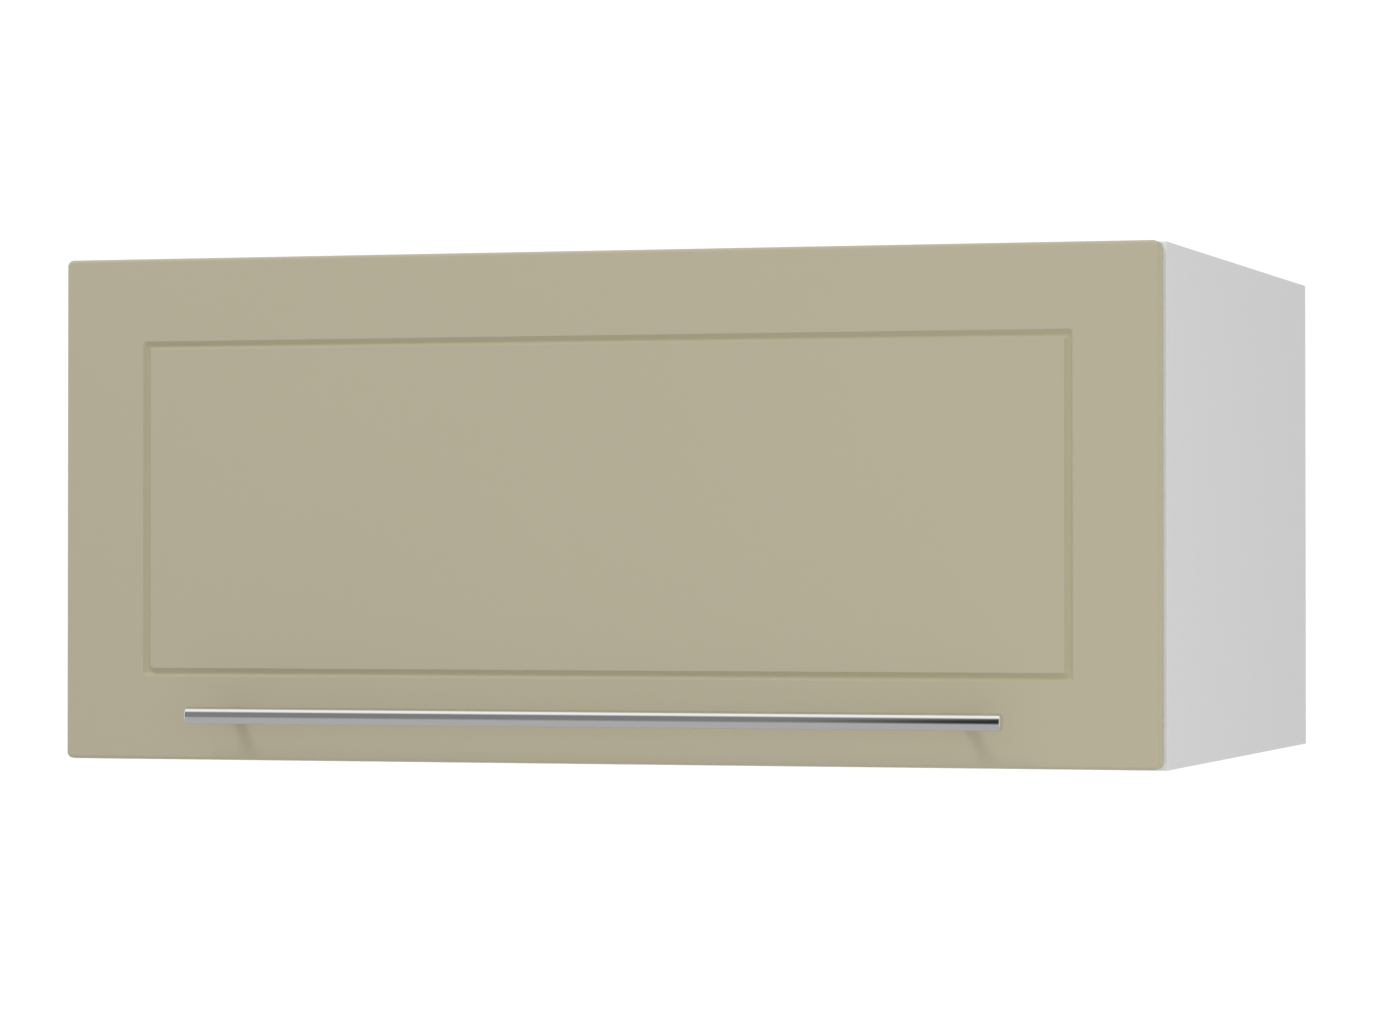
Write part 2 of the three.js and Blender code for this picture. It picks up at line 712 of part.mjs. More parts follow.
function liftOutline(inset) {
  return roundedRectangle(
    [liftFront + inset, liftFront + liftBodyLength - inset],
    [liftTop - liftBodyHeight + inset, liftTop - inset], liftBodyCorner - inset);
}

// The body: a closed case with the arm's pivot on its face and the adjuster's bore in front.
function liftHousing(side, name) {
  const shell = prismX(liftOutline(0), side * (sideInner - seatGap), side * liftFace, cornerSteps);
  const pivot = rodX(liftPivotRadius, side * (liftFace + seatGap), side * armLane[1], liftPivot);
  const adjusterZ = liftTop - liftAdjusterDrop;
  const bore = rodY(liftAdjusterRadius, liftFront - overrun, liftFront + liftAdjusterDepth,
    [side * (liftFace + liftBodyThickness / 2), adjusterZ]);
  return named(name, fuse(cut(shell, bore), pivot), greyPlastic);
}

// The cover: a plate with a chamfered face, a hole for the pivot and a thumb notch behind.
function liftCover(side, name) {
  const plate = new THREE.ExtrudeGeometry(liftOutline(liftCoverInset + liftCoverEdge), {
    depth: liftCoverThickness,
    bevelThickness: liftCoverEdge,
    bevelSize: liftCoverEdge,
    bevelSegments: 1,
    curveSegments: cornerSteps,
  });
  const back = liftFace - seatGap;
  const middle = coverFace + liftCoverEdge + liftCoverThickness / 2;
  plate.applyMatrix4(acrossX).translate(side * middle - liftCoverThickness / 2, 0, 0);
  const behind = box([side * back, side * (back + liftCoverThickness)],
    [liftFront, liftFront + liftBodyLength], [liftTop - liftBodyHeight, liftTop]);
  const [before, after] = [side * (liftFace + overrun), side * (coverFace - overrun)];
  const hole = rodX(liftPivotRadius + boreGap, before, after, liftPivot);
  const notch = rodX(liftThumbRadius, before, after,
    [liftFront + liftBodyLength, liftTop - liftBodyHeight / 2], fineRound);
  return named(name, cut(plate, behind, hole, notch), whitePlastic);
}

// A place part of the way along the lift arm.
function alongArm(share) {
  return liftPivot.map((value, axis) => value + share * liftDoorPin[axis]);
}

function liftArm(side, name) {
  const [start, end] = armLane.map((x) => side * x);
  const [before, after] = [start + side * overrun, end - side * overrun];
  const plate = prismX(linkOutline(liftPivot, elbow, liftArmHalfWidth), start, end, eyeSteps);
  const hole = rodX(liftPivotRadius + boreGap, before, after, liftPivot);
  const slotLine = liftArmSlot.map(alongArm);
  const slot = prismX(linkOutline(...slotLine, liftArmSlotRadius), before, after, eyeSteps);
  const pin = rodX(liftPinRadius, (start + end) / 2, side * linkLane[1], elbow);
  return named(name, fuse(cut(plate, hole, slot), pin), nickelSteel);
}

function liftLink(side, name) {
  const [start, end] = linkLane.map((x) => side * x);
  const plate = prismX(linkOutline(elbow, doorPin, liftLinkHalfWidth), start, end, eyeSteps);
  const holes = [elbow, doorPin].map((place) => rodX(
    liftPinRadius + boreGap, start + side * overrun, end - side * overrun, place));
  return named(name, cut(plate, ...holes), nickelSteel);
}

// The door bracket: a foot screwed to the door, an ear and the pin that the link turns on.
function liftBracket(side, name) {
  const outer = side * (armLane[1] + bracketFootWidth);
  const inner = side * armLane[1];
  const rear = doorRear + seatGap;
  const foot = prismY(roundedRectangle([Math.min(outer, inner), Math.max(outer, inner)],
    [doorPin[1] - bracketFootLength / 2, doorPin[1] + bracketFootLength / 2], bracketFootCorner),
  rear, rear + bracketFootThickness, cornerSteps);
  const ear = prismX(linkOutline([rear + bracketEarHalfWidth, doorPin[1]], doorPin, bracketEarHalfWidth),
    side * armLane[0], inner, eyeSteps);
  const pin = rodX(liftPinRadius, side * (armLane[0] + armLane[1]) / 2, side * linkLane[1], doorPin);
  const holes = [-1, 1].map((end) => rodY(cupScrewRadius, rear - overrun,
    rear + bracketFootThickness + overrun,
    [(outer + side * armLane[0]) / 2, doorPin[1] + end * bracketScrewSpacing / 2], smallRound));
  return named(name, cut(fuse(foot, ear, pin), ...holes), zincMetal);
}

// ---------------------------------------------------------------- hangers

const hangerTop = topInner - hangerFromTop;
const hangerLow = hangerTop - hangerHeight;
const hangerRear = -hangerFromRear;
const hangerFront = hangerRear - hangerDepth;
const hangerOuter = sideInner - seatGap;
const hangerFace = hangerOuter - hangerWidth;
const hangerCavity = hangerFace + hangerFaceWall;
const hookLine = (hangerTop + hangerLow) / 2;
const carriageInner = hangerCavity + slideGap;
const hookX = carriageInner + carriageThickness / 2;
const hookTailY = hangerRear - hookTail;
const carriageRear = hangerRear - hangerWall;
const carriageFront = carriageRear - carriageLength;
const heightScrewZ = hangerTop - heightScrewFromTop;

// The housing: a moulded half shell, open to the side panel and the wall, with a slot for the
// driver that turns the depth screw and a blind bore for the height screw.
function hangerHousing(side, name) {
  const outline = roundedRectangle([hangerFront, hangerRear], [hangerLow, hangerTop], hangerCorner);
  const shell = prismX(outline, side * hangerOuter, side * hangerFace, cornerSteps);
  const cavity = box([side * (hangerOuter + overrun), side * hangerCavity],
    [hangerFront + hangerFrontWall, hangerRear + overrun],
    [hangerLow + hangerWall, hangerTop - hangerWall]);
  const slot = prismY(
    linkOutline([side * hookX, hookLine - carriageTravel], [side * hookX, hookLine + carriageTravel],
      hangerAccessRadius),
    hangerFront - overrun, hangerFront + hangerFrontWall + overrun, eyeSteps);
  const bore = rodY(hangerScrewHeadRadius + boreGap, hangerFront - overrun, hangerFront + hangerBoreDepth,
    [side * hookX, heightScrewZ]);
  return named(name, cut(shell, cavity, slot, bore), whitePlastic);
}

// The carriage: a block that slides up and down in the housing, bored for the hook.
function hangerCarriage(side, name) {
  const block = box([side * carriageInner, side * (carriageInner + carriageThickness)],
    [carriageFront, carriageRear], [hookLine - carriageHeight / 2, hookLine + carriageHeight / 2]);
  const slotHalf = hookThickness / 2 + slideGap;
  const slotHigh = hookHeight / 2 + slideGap;
  const slot = box([side * (hookX - slotHalf), side * (hookX + slotHalf)],
    [hookTailY - hookDrawIn - hookLetOut, carriageRear + overrun],
    [hookLine - slotHigh, hookLine + slotHigh]);
  const bore = rodY(hangerScrewRadius + boreGap, carriageFront - overrun, carriageRear,
    [side * hookX, hookLine], smallRound);
  return named(name, cut(block, slot, bore), zincMetal);
}

// The hook: a flat bar with a lip, and a recess before it that bears on the wall rail.
function hangerHook(side, name) {
  const low = hookLine - hookHeight / 2;
  const high = hookLine + hookHeight / 2;
  const tip = -hookFromWall;
  const seatEnd = tip - hookLip;
  const seatStart = seatEnd - hookSeatLength;
  const outline = polygon([
    [hookTailY, low], [seatStart, low], [seatStart, low + hookSeatDepth], [seatEnd, low + hookSeatDepth],
    [seatEnd, low - hookLipDrop + hookLipNose], [seatEnd + hookLipNose, low - hookLipDrop],
    [tip, low - hookLipDrop], [tip, high - hookNose], [tip - hookNose, high], [hookTailY, high],
  ]);
  const plate = prismX(outline, side * (hookX - hookThickness / 2), side * (hookX + hookThickness / 2));
  const bore = rodY(hangerScrewRadius + boreGap, hookTailY - overrun, hookTailY + hookBoreLength,
    [side * hookX, hookLine], smallRound);
  return named(name, cut(plate, bore), nickelSteel);
}

// The depth screw: its head turns against the carriage and its shank draws the hook.
function hangerDepthScrew(side, name) {
  const rear = carriageFront - slideGap;
  const place = [side * hookX, hookLine];
  const head = rodY(hangerScrewHeadRadius, rear - hangerScrewHeadHeight, rear, place);
  const shank = rodY(hangerScrewRadius, rear - hangerScrewHeadHeight / 2, hookTailY + depthScrewBite,
    place, smallRound);
  return named(name, fuse(head, shank), nickelSteel);
}

function hangerHeightScrew(side, name) {
  const start = hangerFront + heightScrewSink;
  const place = [side * hookX, heightScrewZ];
  return named(name, rodY(hangerScrewHeadRadius, start, start + hangerScrewHeadHeight, place), nickelSteel);
}

// ---------------------------------------------------------------- assembly

const carcass = group(
  sidePanel(LEFT, 'side_panel_left'),
  sidePanel(RIGHT, 'side_panel_right'),
  crossPanel('top', 'top_panel'),
  crossPanel('bottom', 'bottom_panel'),
  backPanel(),
  ...camPlaces.map(cam),
  ...camPlaces.map(camBolt));

const doorAssembly = group(doorPanel(), handleBar());
const liftAssembly = new THREE.Group();
const hangerAssembly = new THREE.Group();
const hingeAssembly = new THREE.Group();
for (const [side, sideName] of sides) {
  doorAssembly.add(
    handlePost(side, `handle_post_${sideName}`),
    handleScrew(side, `handle_screw_${sideName}`),
    doorBumper(side, `door_bumper_${sideName}`));
  hingeAssembly.add(hinge(side, sideName));
  liftAssembly.add(
    liftHousing(side, `lift_housing_${sideName}`),
    liftCover(side, `lift_cover_${sideName}`),
    liftArm(side, `lift_arm_${sideName}`),
    liftLink(side, `lift_link_${sideName}`),
    liftBracket(side, `lift_bracket_${sideName}`));
  hangerAssembly.add(
    hangerHousing(side, `hanger_housing_${sideName}`),
    hangerCarriage(side, `hanger_carriage_${sideName}`),
    hangerHook(side, `hanger_hook_${sideName}`),
    hangerDepthScrew(side, `hanger_depth_screw_${sideName}`),
    hangerHeightScrew(side, `hanger_height_screw_${sideName}`));
}

const cabinet = group(carcass, doorAssembly, hingeAssembly, liftAssembly, hangerAssembly);

export default cabinet;
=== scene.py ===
import json
from math import cos, pi, radians, sin

import bmesh
import bpy
import numpy as np
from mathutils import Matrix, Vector


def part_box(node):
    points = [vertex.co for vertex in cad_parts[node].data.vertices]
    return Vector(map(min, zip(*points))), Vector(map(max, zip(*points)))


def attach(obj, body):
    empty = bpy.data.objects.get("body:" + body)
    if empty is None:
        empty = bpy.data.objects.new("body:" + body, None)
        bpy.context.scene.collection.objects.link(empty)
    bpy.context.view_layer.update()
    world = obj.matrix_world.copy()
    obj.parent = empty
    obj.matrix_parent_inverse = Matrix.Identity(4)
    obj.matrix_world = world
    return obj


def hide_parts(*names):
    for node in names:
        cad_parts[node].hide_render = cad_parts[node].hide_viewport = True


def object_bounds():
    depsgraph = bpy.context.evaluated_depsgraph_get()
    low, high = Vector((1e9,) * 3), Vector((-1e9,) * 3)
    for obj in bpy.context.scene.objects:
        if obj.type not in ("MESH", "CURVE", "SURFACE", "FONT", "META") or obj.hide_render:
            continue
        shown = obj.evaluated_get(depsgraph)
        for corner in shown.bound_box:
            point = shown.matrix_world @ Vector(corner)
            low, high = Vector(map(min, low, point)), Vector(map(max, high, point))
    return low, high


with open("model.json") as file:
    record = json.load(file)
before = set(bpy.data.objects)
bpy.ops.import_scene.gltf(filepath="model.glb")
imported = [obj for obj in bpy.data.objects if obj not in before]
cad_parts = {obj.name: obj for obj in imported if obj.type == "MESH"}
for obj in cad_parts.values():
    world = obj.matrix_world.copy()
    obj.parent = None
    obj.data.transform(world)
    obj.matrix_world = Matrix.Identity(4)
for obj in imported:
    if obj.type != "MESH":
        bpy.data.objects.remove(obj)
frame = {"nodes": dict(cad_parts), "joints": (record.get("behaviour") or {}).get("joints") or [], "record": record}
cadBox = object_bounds()
print("frame loaded:", len(frame["nodes"]), "nodes")

mm = 0.001
sides = {"left": -1, "right": 1}
bothWays = tuple(sides.values())


# places and names are read from the frame

def nodeBox(name):
    low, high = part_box(name)
    return np.array(low), np.array(high)


def nodeMiddle(name):
    low, high = nodeBox(name)
    return (low + high) / 2


def jointPlace(name):
    joint = next(joint for joint in frame["joints"] if joint["name"] == name)
    return np.array(joint["pos_m"])


behaviour = frame["record"]["behaviour"]
bodyOf = {node: body for body, members in behaviour["bodies"].items() for node in members}
doorLow, doorHigh = nodeBox("door_panel")
barLow, barHigh = nodeBox("handle_bar")
carcassFront = float(nodeBox("top_panel")[0][1])


# short ways to build a material's nodes

def newMaterial(name, shader):
    material = bpy.data.materials.new(name)
    material.use_nodes = True
    bsdf = material.node_tree.nodes["Principled BSDF"]
    for socket, value in shader.items():
        bsdf.inputs[socket].default_value = value
    return material, material.node_tree, bsdf


def plug(tree, sockets, key, value):
    if isinstance(value, bpy.types.NodeSocket):
        tree.links.new(value, sockets[key])
    else:
        sockets[key].default_value = value


def addNode(tree, kind, inputs=None, **settings):
    node = tree.nodes.new(kind)
    for key, value in settings.items():
        setattr(node, key, value)
    for key, value in (inputs or {}).items():
        plug(tree, node.inputs, key, value)
    return node


def objectPoint(tree, stretch=(1, 1, 1)):
    # the point on the piece, in its own coordinates; a share below 1 draws patterns out
    source = addNode(tree, "ShaderNodeTexCoord").outputs["Object"]
    mapping = addNode(tree, "ShaderNodeMapping", {"Vector": source, "Scale": stretch})
    return mapping.outputs["Vector"]


def noise(tree, point, scale, detail=2.0, roughness=0.5):
    # a noise is kept as (scale, detail, roughness), the last two where they aren't the usual ones
    inputs = {"Vector": point, "Scale": scale, "Detail": detail, "Roughness": roughness}
    return addNode(tree, "ShaderNodeTexNoise", inputs).outputs["Fac"]


def remap(tree, value, low, high, start=0.0, end=1.0):
    # a straight line from low at the start to high at the end, held level past both
    inputs = {"Value": value, "From Min": start, "From Max": end, "To Min": low, "To Max": high}
    return addNode(tree, "ShaderNodeMapRange", inputs).outputs["Result"]


def maths(tree, operation, first, second):
    node = addNode(tree, "ShaderNodeMath", {0: first, 1: second}, operation=operation)
    return node.outputs["Value"]


def blendColours(tree, factor, first, second):
    # a Mix node's colour sockets come after those for numbers and vectors
    node = addNode(tree, "ShaderNodeMix", data_type="RGBA")
    sockets = {"factor": node.inputs[0], "first": node.inputs[6], "second": node.inputs[7]}
    plug(tree, sockets, "factor", factor)
    plug(tree, sockets, "first", first)
    plug(tree, sockets, "second", second)
    return node.outputs[2]


def addBump(tree, bsdf, heights):
    # chains one bump node for each (height, strength, distance); a bump is kept as the last two
    normal = None
    for height, strength, distance in heights:
        inputs = {"Height": height, "Strength": strength, "Distance": distance}
        if normal is not None:
            inputs["Normal"] = normal
        normal = addNode(tree, "ShaderNodeBump", inputs).outputs["Normal"]
    tree.links.new(normal, bsdf.inputs["Normal"])


def shade(colour, factor):
    return tuple(channel * factor for channel in colour[:3]) + (1.0,)


def closeTones(tree, factor, colour, spread):
    # the colour made a little darker and a little lighter, and mixed by the factor
    dark, light = spread
    return blendColours(tree, factor, shade(colour, dark), shade(colour, light))


# every pattern reads Object coordinates, in metres

foil = {
    "colour": (0.450, 0.412, 0.296, 1.0),
    "roughness": 0.5,
    "roughnessSpread": 0.12,
    "cloud": (5.0, 3.0),     # slow change of tone over the wrapped board
    "cloudSpread": (0.992, 1.008),
    "grain": (2600.0, 3.0, 0.6),    # the embossed skin of the foil
    "grainBump": (0.5, 0.02 * mm),
    "wave": (220.0,),
    "waveBump": (0.25, 0.04 * mm),
    "grooveShadeTint": (0.985, 1.0, 0.90),  # painted shade: deep in the groove the foil is made yellower and darker, as light bounced in the recess would make it
    "grooveShadeFrom": 1.2 * mm,
    "grooveShadeTo": 2.2 * mm,
}


def doorFoil():
    # colour: two close tones mixed by slow noise, times a painted shade tint deep in the groove below the face
    material, tree, bsdf = newMaterial("doorFoil", {"Roughness": foil["roughness"]})
    point = objectPoint(tree)
    cloud = noise(tree, point, *foil["cloud"])
    tone = closeTones(tree, cloud, foil["colour"], foil["cloudSpread"])
    # painted shade: the colour deep in the groove is made yellower and darker, as light bounced in the recess
    # would make it
    grooveShaded = addNode(tree, "ShaderNodeVectorMath", {0: tone, 1: foil["grooveShadeTint"]}, operation="MULTIPLY")
    depth = addNode(tree, "ShaderNodeSeparateXYZ", {"Vector": point}).outputs["Y"]
    front = float(doorLow[1])
    inGrooveShade = remap(tree, depth, 0.0, 1.0, front + foil["grooveShadeFrom"], front + foil["grooveShadeTo"])
    tone = blendColours(tree, inGrooveShade, tone, grooveShaded.outputs["Vector"])
    tree.links.new(tone, bsdf.inputs["Base Color"])
    grain = noise(tree, point, *foil["grain"])
    wave = noise(tree, point, *foil["wave"])
    low = foil["roughness"] - foil["roughnessSpread"] / 2
    tree.links.new(remap(tree, grain, low, low + foil["roughnessSpread"]), bsdf.inputs["Roughness"])
    addBump(tree, bsdf, [(wave, *foil["waveBump"]), (grain, *foil["grainBump"])])
    return material


board = {
    "colour": (0.655, 0.655, 0.655, 1.0),
    # the edging is white like the faces, painted a little lighter to lift the shade in the gap behind the door
    "edgingLightened": (0.76, 0.76, 0.755, 1.0),
    "edgingThickness": 0.8 * mm,
    "glueLine": 0.12 * mm,
    "glueColour": (0.42, 0.40, 0.36, 1.0),
    "chipDark": (0.20, 0.115, 0.055, 1.0),
    "chipLight": (0.56, 0.40, 0.24, 1.0),
    "chipScale": 380.0,
    "chipWeight": 0.3,
    "fineChipScale": 900.0,
    "fineChipWeight": 0.35,
    "dust": (1600.0, 3.0, 0.7),
    "dustWeight": 0.35,
    "chipRagged": 1.6 * mm,
    "chipBump": (0.6, 0.25 * mm),
    "rawFrom": -0.25 * mm,    # the rear edges have no edging
    "roughness": 0.42,
    "roughnessSpread": 0.10,
    "rawRoughness": 0.45,     # added on the raw edge
    "cloud": (60.0, 3.0),
    "cloudSpread": (0.985, 1.01),
    "pearl": (1500.0,),
    "pearlBump": (0.3, 0.04 * mm),
}


def chipColour(tree, point):
    # ragged flakes: the cells of two sizes are read at a point shifted by noise, and the tone is
    # the weighted sum of the coarse cell, the fine cell and the dust
    drift = addNode(tree, "ShaderNodeTexNoise", {"Vector": point, "Scale": board["chipScale"]})
    inputs = {0: drift.outputs["Color"], "Scale": board["chipRagged"]}
    shift = addNode(tree, "ShaderNodeVectorMath", inputs, operation="SCALE")
    inputs = {0: point, 1: shift.outputs["Vector"]}
    ragged = addNode(tree, "ShaderNodeVectorMath", inputs, operation="ADD")
    tone = maths(tree, "MULTIPLY", noise(tree, point, *board["dust"]), board["dustWeight"])
    for size in ("chip", "fineChip"):
        inputs = {"Vector": ragged.outputs["Vector"], "Scale": board[size + "Scale"]}
        flakes = addNode(tree, "ShaderNodeTexVoronoi", inputs).outputs["Color"]
        cell = addNode(tree, "ShaderNodeSeparateColor", {"Color": flakes}).outputs["Red"]
        tone = maths(tree, "ADD", tone, maths(tree, "MULTIPLY", cell, board[size + "Weight"]))
    return blendColours(tree, tone, board["chipDark"], board["chipLight"]), tone


def melamine(tree, point):
    # the pearled white face: two close tones mixed by noise, over a fine bump
    cloud = noise(tree, point, *board["cloud"])
    face = closeTones(tree, cloud, board["colour"], board["cloudSpread"])
    pearl = noise(tree, point, *board["pearl"])
    low = board["roughness"] - board["roughnessSpread"] / 2
    rough = remap(tree, pearl, low, low + board["roughnessSpread"])
    return face, pearl, rough


def whiteBoard():
    # melamine faces; an edging strip with its glue line in front, the strip painted lighter than the faces to lift
    # the shade in the gap behind the door; and raw chipboard behind
    material, tree, bsdf = newMaterial("whiteBoard", {"Roughness": board["roughness"]})
    point = objectPoint(tree)
    face, pearl, rough = melamine(tree, point)
    depth = addNode(tree, "ShaderNodeSeparateXYZ", {"Vector": point}).outputs["Y"]
    stripEnd = carcassFront + board["edgingThickness"]
    isStrip = maths(tree, "LESS_THAN", depth, stripEnd)
    isLine = maths(tree, "MULTIPLY", maths(tree, "GREATER_THAN", depth, stripEnd),
                   maths(tree, "LESS_THAN", depth, stripEnd + board["glueLine"]))
    isRaw = maths(tree, "GREATER_THAN", depth, board["rawFrom"])
    # painted light: the edging's lighter white lifts the shade in the gap behind the door
    face = blendColours(tree, isStrip, face, board["edgingLightened"])
    face = blendColours(tree, isLine, face, board["glueColour"])
    chips, tone = chipColour(tree, point)
    tree.links.new(blendColours(tree, isRaw, face, chips), bsdf.inputs["Base Color"])
    rawRough = maths(tree, "MULTIPLY", isRaw, board["rawRoughness"])
    tree.links.new(maths(tree, "ADD", rough, rawRough), bsdf.inputs["Roughness"])
    rawHeight = maths(tree, "MULTIPLY", tone, isRaw)
    addBump(tree, bsdf, [(pearl, *board["pearlBump"]), (rawHeight, *board["chipBump"])])
    return material


def doorRearBoard():
    # the door's rear is plain melamine
    material, tree, bsdf = newMaterial("doorRear", {"Roughness": board["roughness"]})
    face, pearl, rough = melamine(tree, objectPoint(tree))
    tree.links.new(face, bsdf.inputs["Base Color"])
    tree.links.new(rough, bsdf.inputs["Roughness"])
    addBump(tree, bsdf, [(pearl, *board["pearlBump"])])
    return material


fibreboard = {
    "dark": (0.30, 0.20, 0.11, 1.0),
    "light": (0.46, 0.34, 0.21, 1.0),
    "fibre": (1400.0, 4.0, 0.7),
    "bump": (0.5, 0.08 * mm),
    "roughness": 0.85,
}


def rawFibreboard():
    # the walls of the bores in the door: brown fibres mixed by fine noise
    material, tree, bsdf = newMaterial("rawFibreboard", {"Roughness": fibreboard["roughness"]})
    fibre = noise(tree, objectPoint(tree), *fibreboard["fibre"])
    tone = blendColours(tree, fibre, fibreboard["dark"], fibreboard["light"])
    tree.links.new(tone, bsdf.inputs["Base Color"])
    addBump(tree, bsdf, [(fibre, *fibreboard["bump"])])
    return material


hardboard = {
    "face": (0.67, 0.67, 0.66, 1.0),
    "faceSpread": (0.98, 1.01),
    "faceRoughness": 0.5,
    "rearDark": (0.17, 0.095, 0.045, 1.0),
    "rearLight": (0.30, 0.185, 0.10, 1.0),
    "rearRoughness": 0.8,
    "rearFrom": 0.5,          # share by which a face has to look at the wall to be the rear
    "fibre": (900.0, 4.0, 0.7),
    "fibreWeight": 0.6,
    "fibreBump": (0.35, 0.05 * mm),
    "cloud": (14.0, 3.0),
    "cloudWeight": 0.4,
}


def backBoard():
    # painted white inside; raw hardboard on the wall side, told apart by which way a face looks
    material, tree, bsdf = newMaterial("backBoard", {"Roughness": hardboard["faceRoughness"]})
    point = objectPoint(tree)
    facing = addNode(tree, "ShaderNodeTexCoord").outputs["Normal"]
    towardWall = addNode(tree, "ShaderNodeSeparateXYZ", {"Vector": facing}).outputs["Y"]
    isRear = maths(tree, "GREATER_THAN", towardWall, hardboard["rearFrom"])
    fibre = noise(tree, point, *hardboard["fibre"])
    cloud = noise(tree, point, *hardboard["cloud"])
    tone = maths(tree, "ADD", maths(tree, "MULTIPLY", fibre, hardboard["fibreWeight"]),
                 maths(tree, "MULTIPLY", cloud, hardboard["cloudWeight"]))
    rear = blendColours(tree, tone, hardboard["rearDark"], hardboard["rearLight"])
    face = closeTones(tree, cloud, hardboard["face"], hardboard["faceSpread"])
    tree.links.new(blendColours(tree, isRear, face, rear), bsdf.inputs["Base Color"])
    rough = remap(tree, isRear, hardboard["faceRoughness"], hardboard["rearRoughness"])
    tree.links.new(rough, bsdf.inputs["Roughness"])
    addBump(tree, bsdf, [(fibre, *hardboard["fibreBump"])])
    return material


# stretch: below 1 along an axis draws the streaks out along it; blotch: the spread of the tone
metals = {
    "handleSteel": {"colour": (0.79, 0.79, 0.79), "roughness": 0.1, "spread": 0.04,
                    "stretch": (0.02, 1, 1), "scale": 1400.0, "depth": 0.002 * mm, "blotch": 0.01},
    "hingeNickel": {"colour": (0.66, 0.65, 0.62), "roughness": 0.24, "spread": 0.06,
                    "stretch": (1, 0.06, 1), "scale": 1500.0, "depth": 0.003 * mm, "blotch": 0.02},
    "zincCasting": {"colour": (0.52, 0.53, 0.55), "roughness": 0.38, "spread": 0.10,
                    "stretch": (1, 1, 1), "scale": 1100.0, "depth": 0.02 * mm, "blotch": 0.04},
    "screwSteel": {"colour": (0.62, 0.62, 0.60), "roughness": 0.28, "spread": 0.08,
                   "stretch": (1, 1, 1), "scale": 1800.0, "depth": 0.004 * mm, "blotch": 0.04},
}
metalGrain = {"streakDetail": (4.0, 0.65), "cloud": (45.0,), "bumpStrength": 0.35}


def metal(name):
    # streaks shift the roughness and a fine bump; slow noise mixes two close tones
    look = metals[name]
    material, tree, bsdf = newMaterial(name, {"Metallic": 1.0, "Roughness": look["roughness"]})
    stretched = objectPoint(tree, look["stretch"])
    streaks = noise(tree, stretched, look["scale"], *metalGrain["streakDetail"])
    clouds = noise(tree, objectPoint(tree), *metalGrain["cloud"])
    spread = (1 - look["blotch"], 1 + look["blotch"])
    tree.links.new(closeTones(tree, clouds, look["colour"], spread), bsdf.inputs["Base Color"])
    low = look["roughness"] - look["spread"] / 2
    tree.links.new(remap(tree, streaks, low, low + look["spread"]), bsdf.inputs["Roughness"])
    addBump(tree, bsdf, [(streaks, metalGrain["bumpStrength"], look["depth"])])
    return material


coated = {
    "leverPaint": {"colour": (0.30, 0.31, 0.32), "roughness": 0.38, "scale": 2200.0, "depth": 0.03 * mm},
    "casePaint": {"colour": (0.36, 0.37, 0.38), "roughness": 0.42, "scale": 2200.0, "depth": 0.03 * mm},
    "whitePlastic": {"colour": (0.66, 0.66, 0.655), "roughness": 0.4, "scale": 1800.0,
                     "depth": 0.04 * mm},
    "clearPad": {"colour": (0.62, 0.63, 0.62), "roughness": 0.3, "scale": 1800.0, "depth": 0.03 * mm,
                 "clear": 0.5},
}
coatGrain = {
    "cloud": (25.0,),
    "cloudSpread": (0.97, 1.03),
    "smoother": 0.06,        # the grain takes this much off the roughness, or adds the next value
    "rougher": 0.08,
    "bumpStrength": 0.4,
}


def coat(name):
    # a fine grain shifts the roughness and a bump; slow noise mixes two close tones
    look = coated[name]
    shader = {"Roughness": look["roughness"], "Transmission Weight": look.get("clear", 0.0)}
    material, tree, bsdf = newMaterial(name, shader)
    point = objectPoint(tree)
    grain = noise(tree, point, look["scale"])
    clouds = noise(tree, point, *coatGrain["cloud"])
    tone = closeTones(tree, clouds, look["colour"], coatGrain["cloudSpread"])
    tree.links.new(tone, bsdf.inputs["Base Color"])
    low, high = look["roughness"] - coatGrain["smoother"], look["roughness"] + coatGrain["rougher"]
    tree.links.new(remap(tree, grain, low, high), bsdf.inputs["Roughness"])
    addBump(tree, bsdf, [(grain, coatGrain["bumpStrength"], look["depth"])])
    return material


materials = {
    "doorFoil": doorFoil(),
    "doorRear": doorRearBoard(),
    "rawFibreboard": rawFibreboard(),
    "whiteBoard": whiteBoard(),
    "backBoard": backBoard(),
}
materials.update({name: metal(name) for name in metals})
materials.update({name: coat(name) for name in coated})
print("materials made:", len(materials))


# a surface is (points, quads, caps): rows of points, an array of quads and a list of end loops

def bandQuads(rows, columns):
    # quads between neighbouring rows of a grid whose columns close on themselves
    row = np.arange(rows - 1)[:, None] * columns
    column = np.arange(columns)[None, :]
    beside = (column + 1) % columns
    above = row + columns
    return np.stack([row + column, row + beside, above + beside, above + column], axis=-1).reshape(-1, 4)


def closedTube(rows):
    # rows of equal loops, closed by one face at each end
    count, columns = rows.shape[:2]
    first = np.arange(columns)[::-1]
    last = np.arange(columns) + (count - 1) * columns
    return rows.reshape(-1, 3), bandQuads(count, columns), [first, last]


def placed(local, axis, origin):
    # turns the local Z onto the axis and moves the zero to the origin
    tilt = np.array(Vector((0, 0, 1)).rotation_difference(Vector(axis)).to_matrix())
    return local @ tilt.T + np.array(origin)


def turnedSurface(profile, origin, axis, count):
    # rows of (radius, height) carried round the axis in so many steps
    radius, height = np.array(profile, dtype=float).T
    angle = np.linspace(0, 2 * pi, count, endpoint=False)
    rows = np.empty((len(radius), count, 3))
    rows[..., 0] = radius[:, None] * np.cos(angle)
    rows[..., 1] = radius[:, None] * np.sin(angle)
    rows[..., 2] = height[:, None]
    return closedTube(placed(rows, axis, origin))


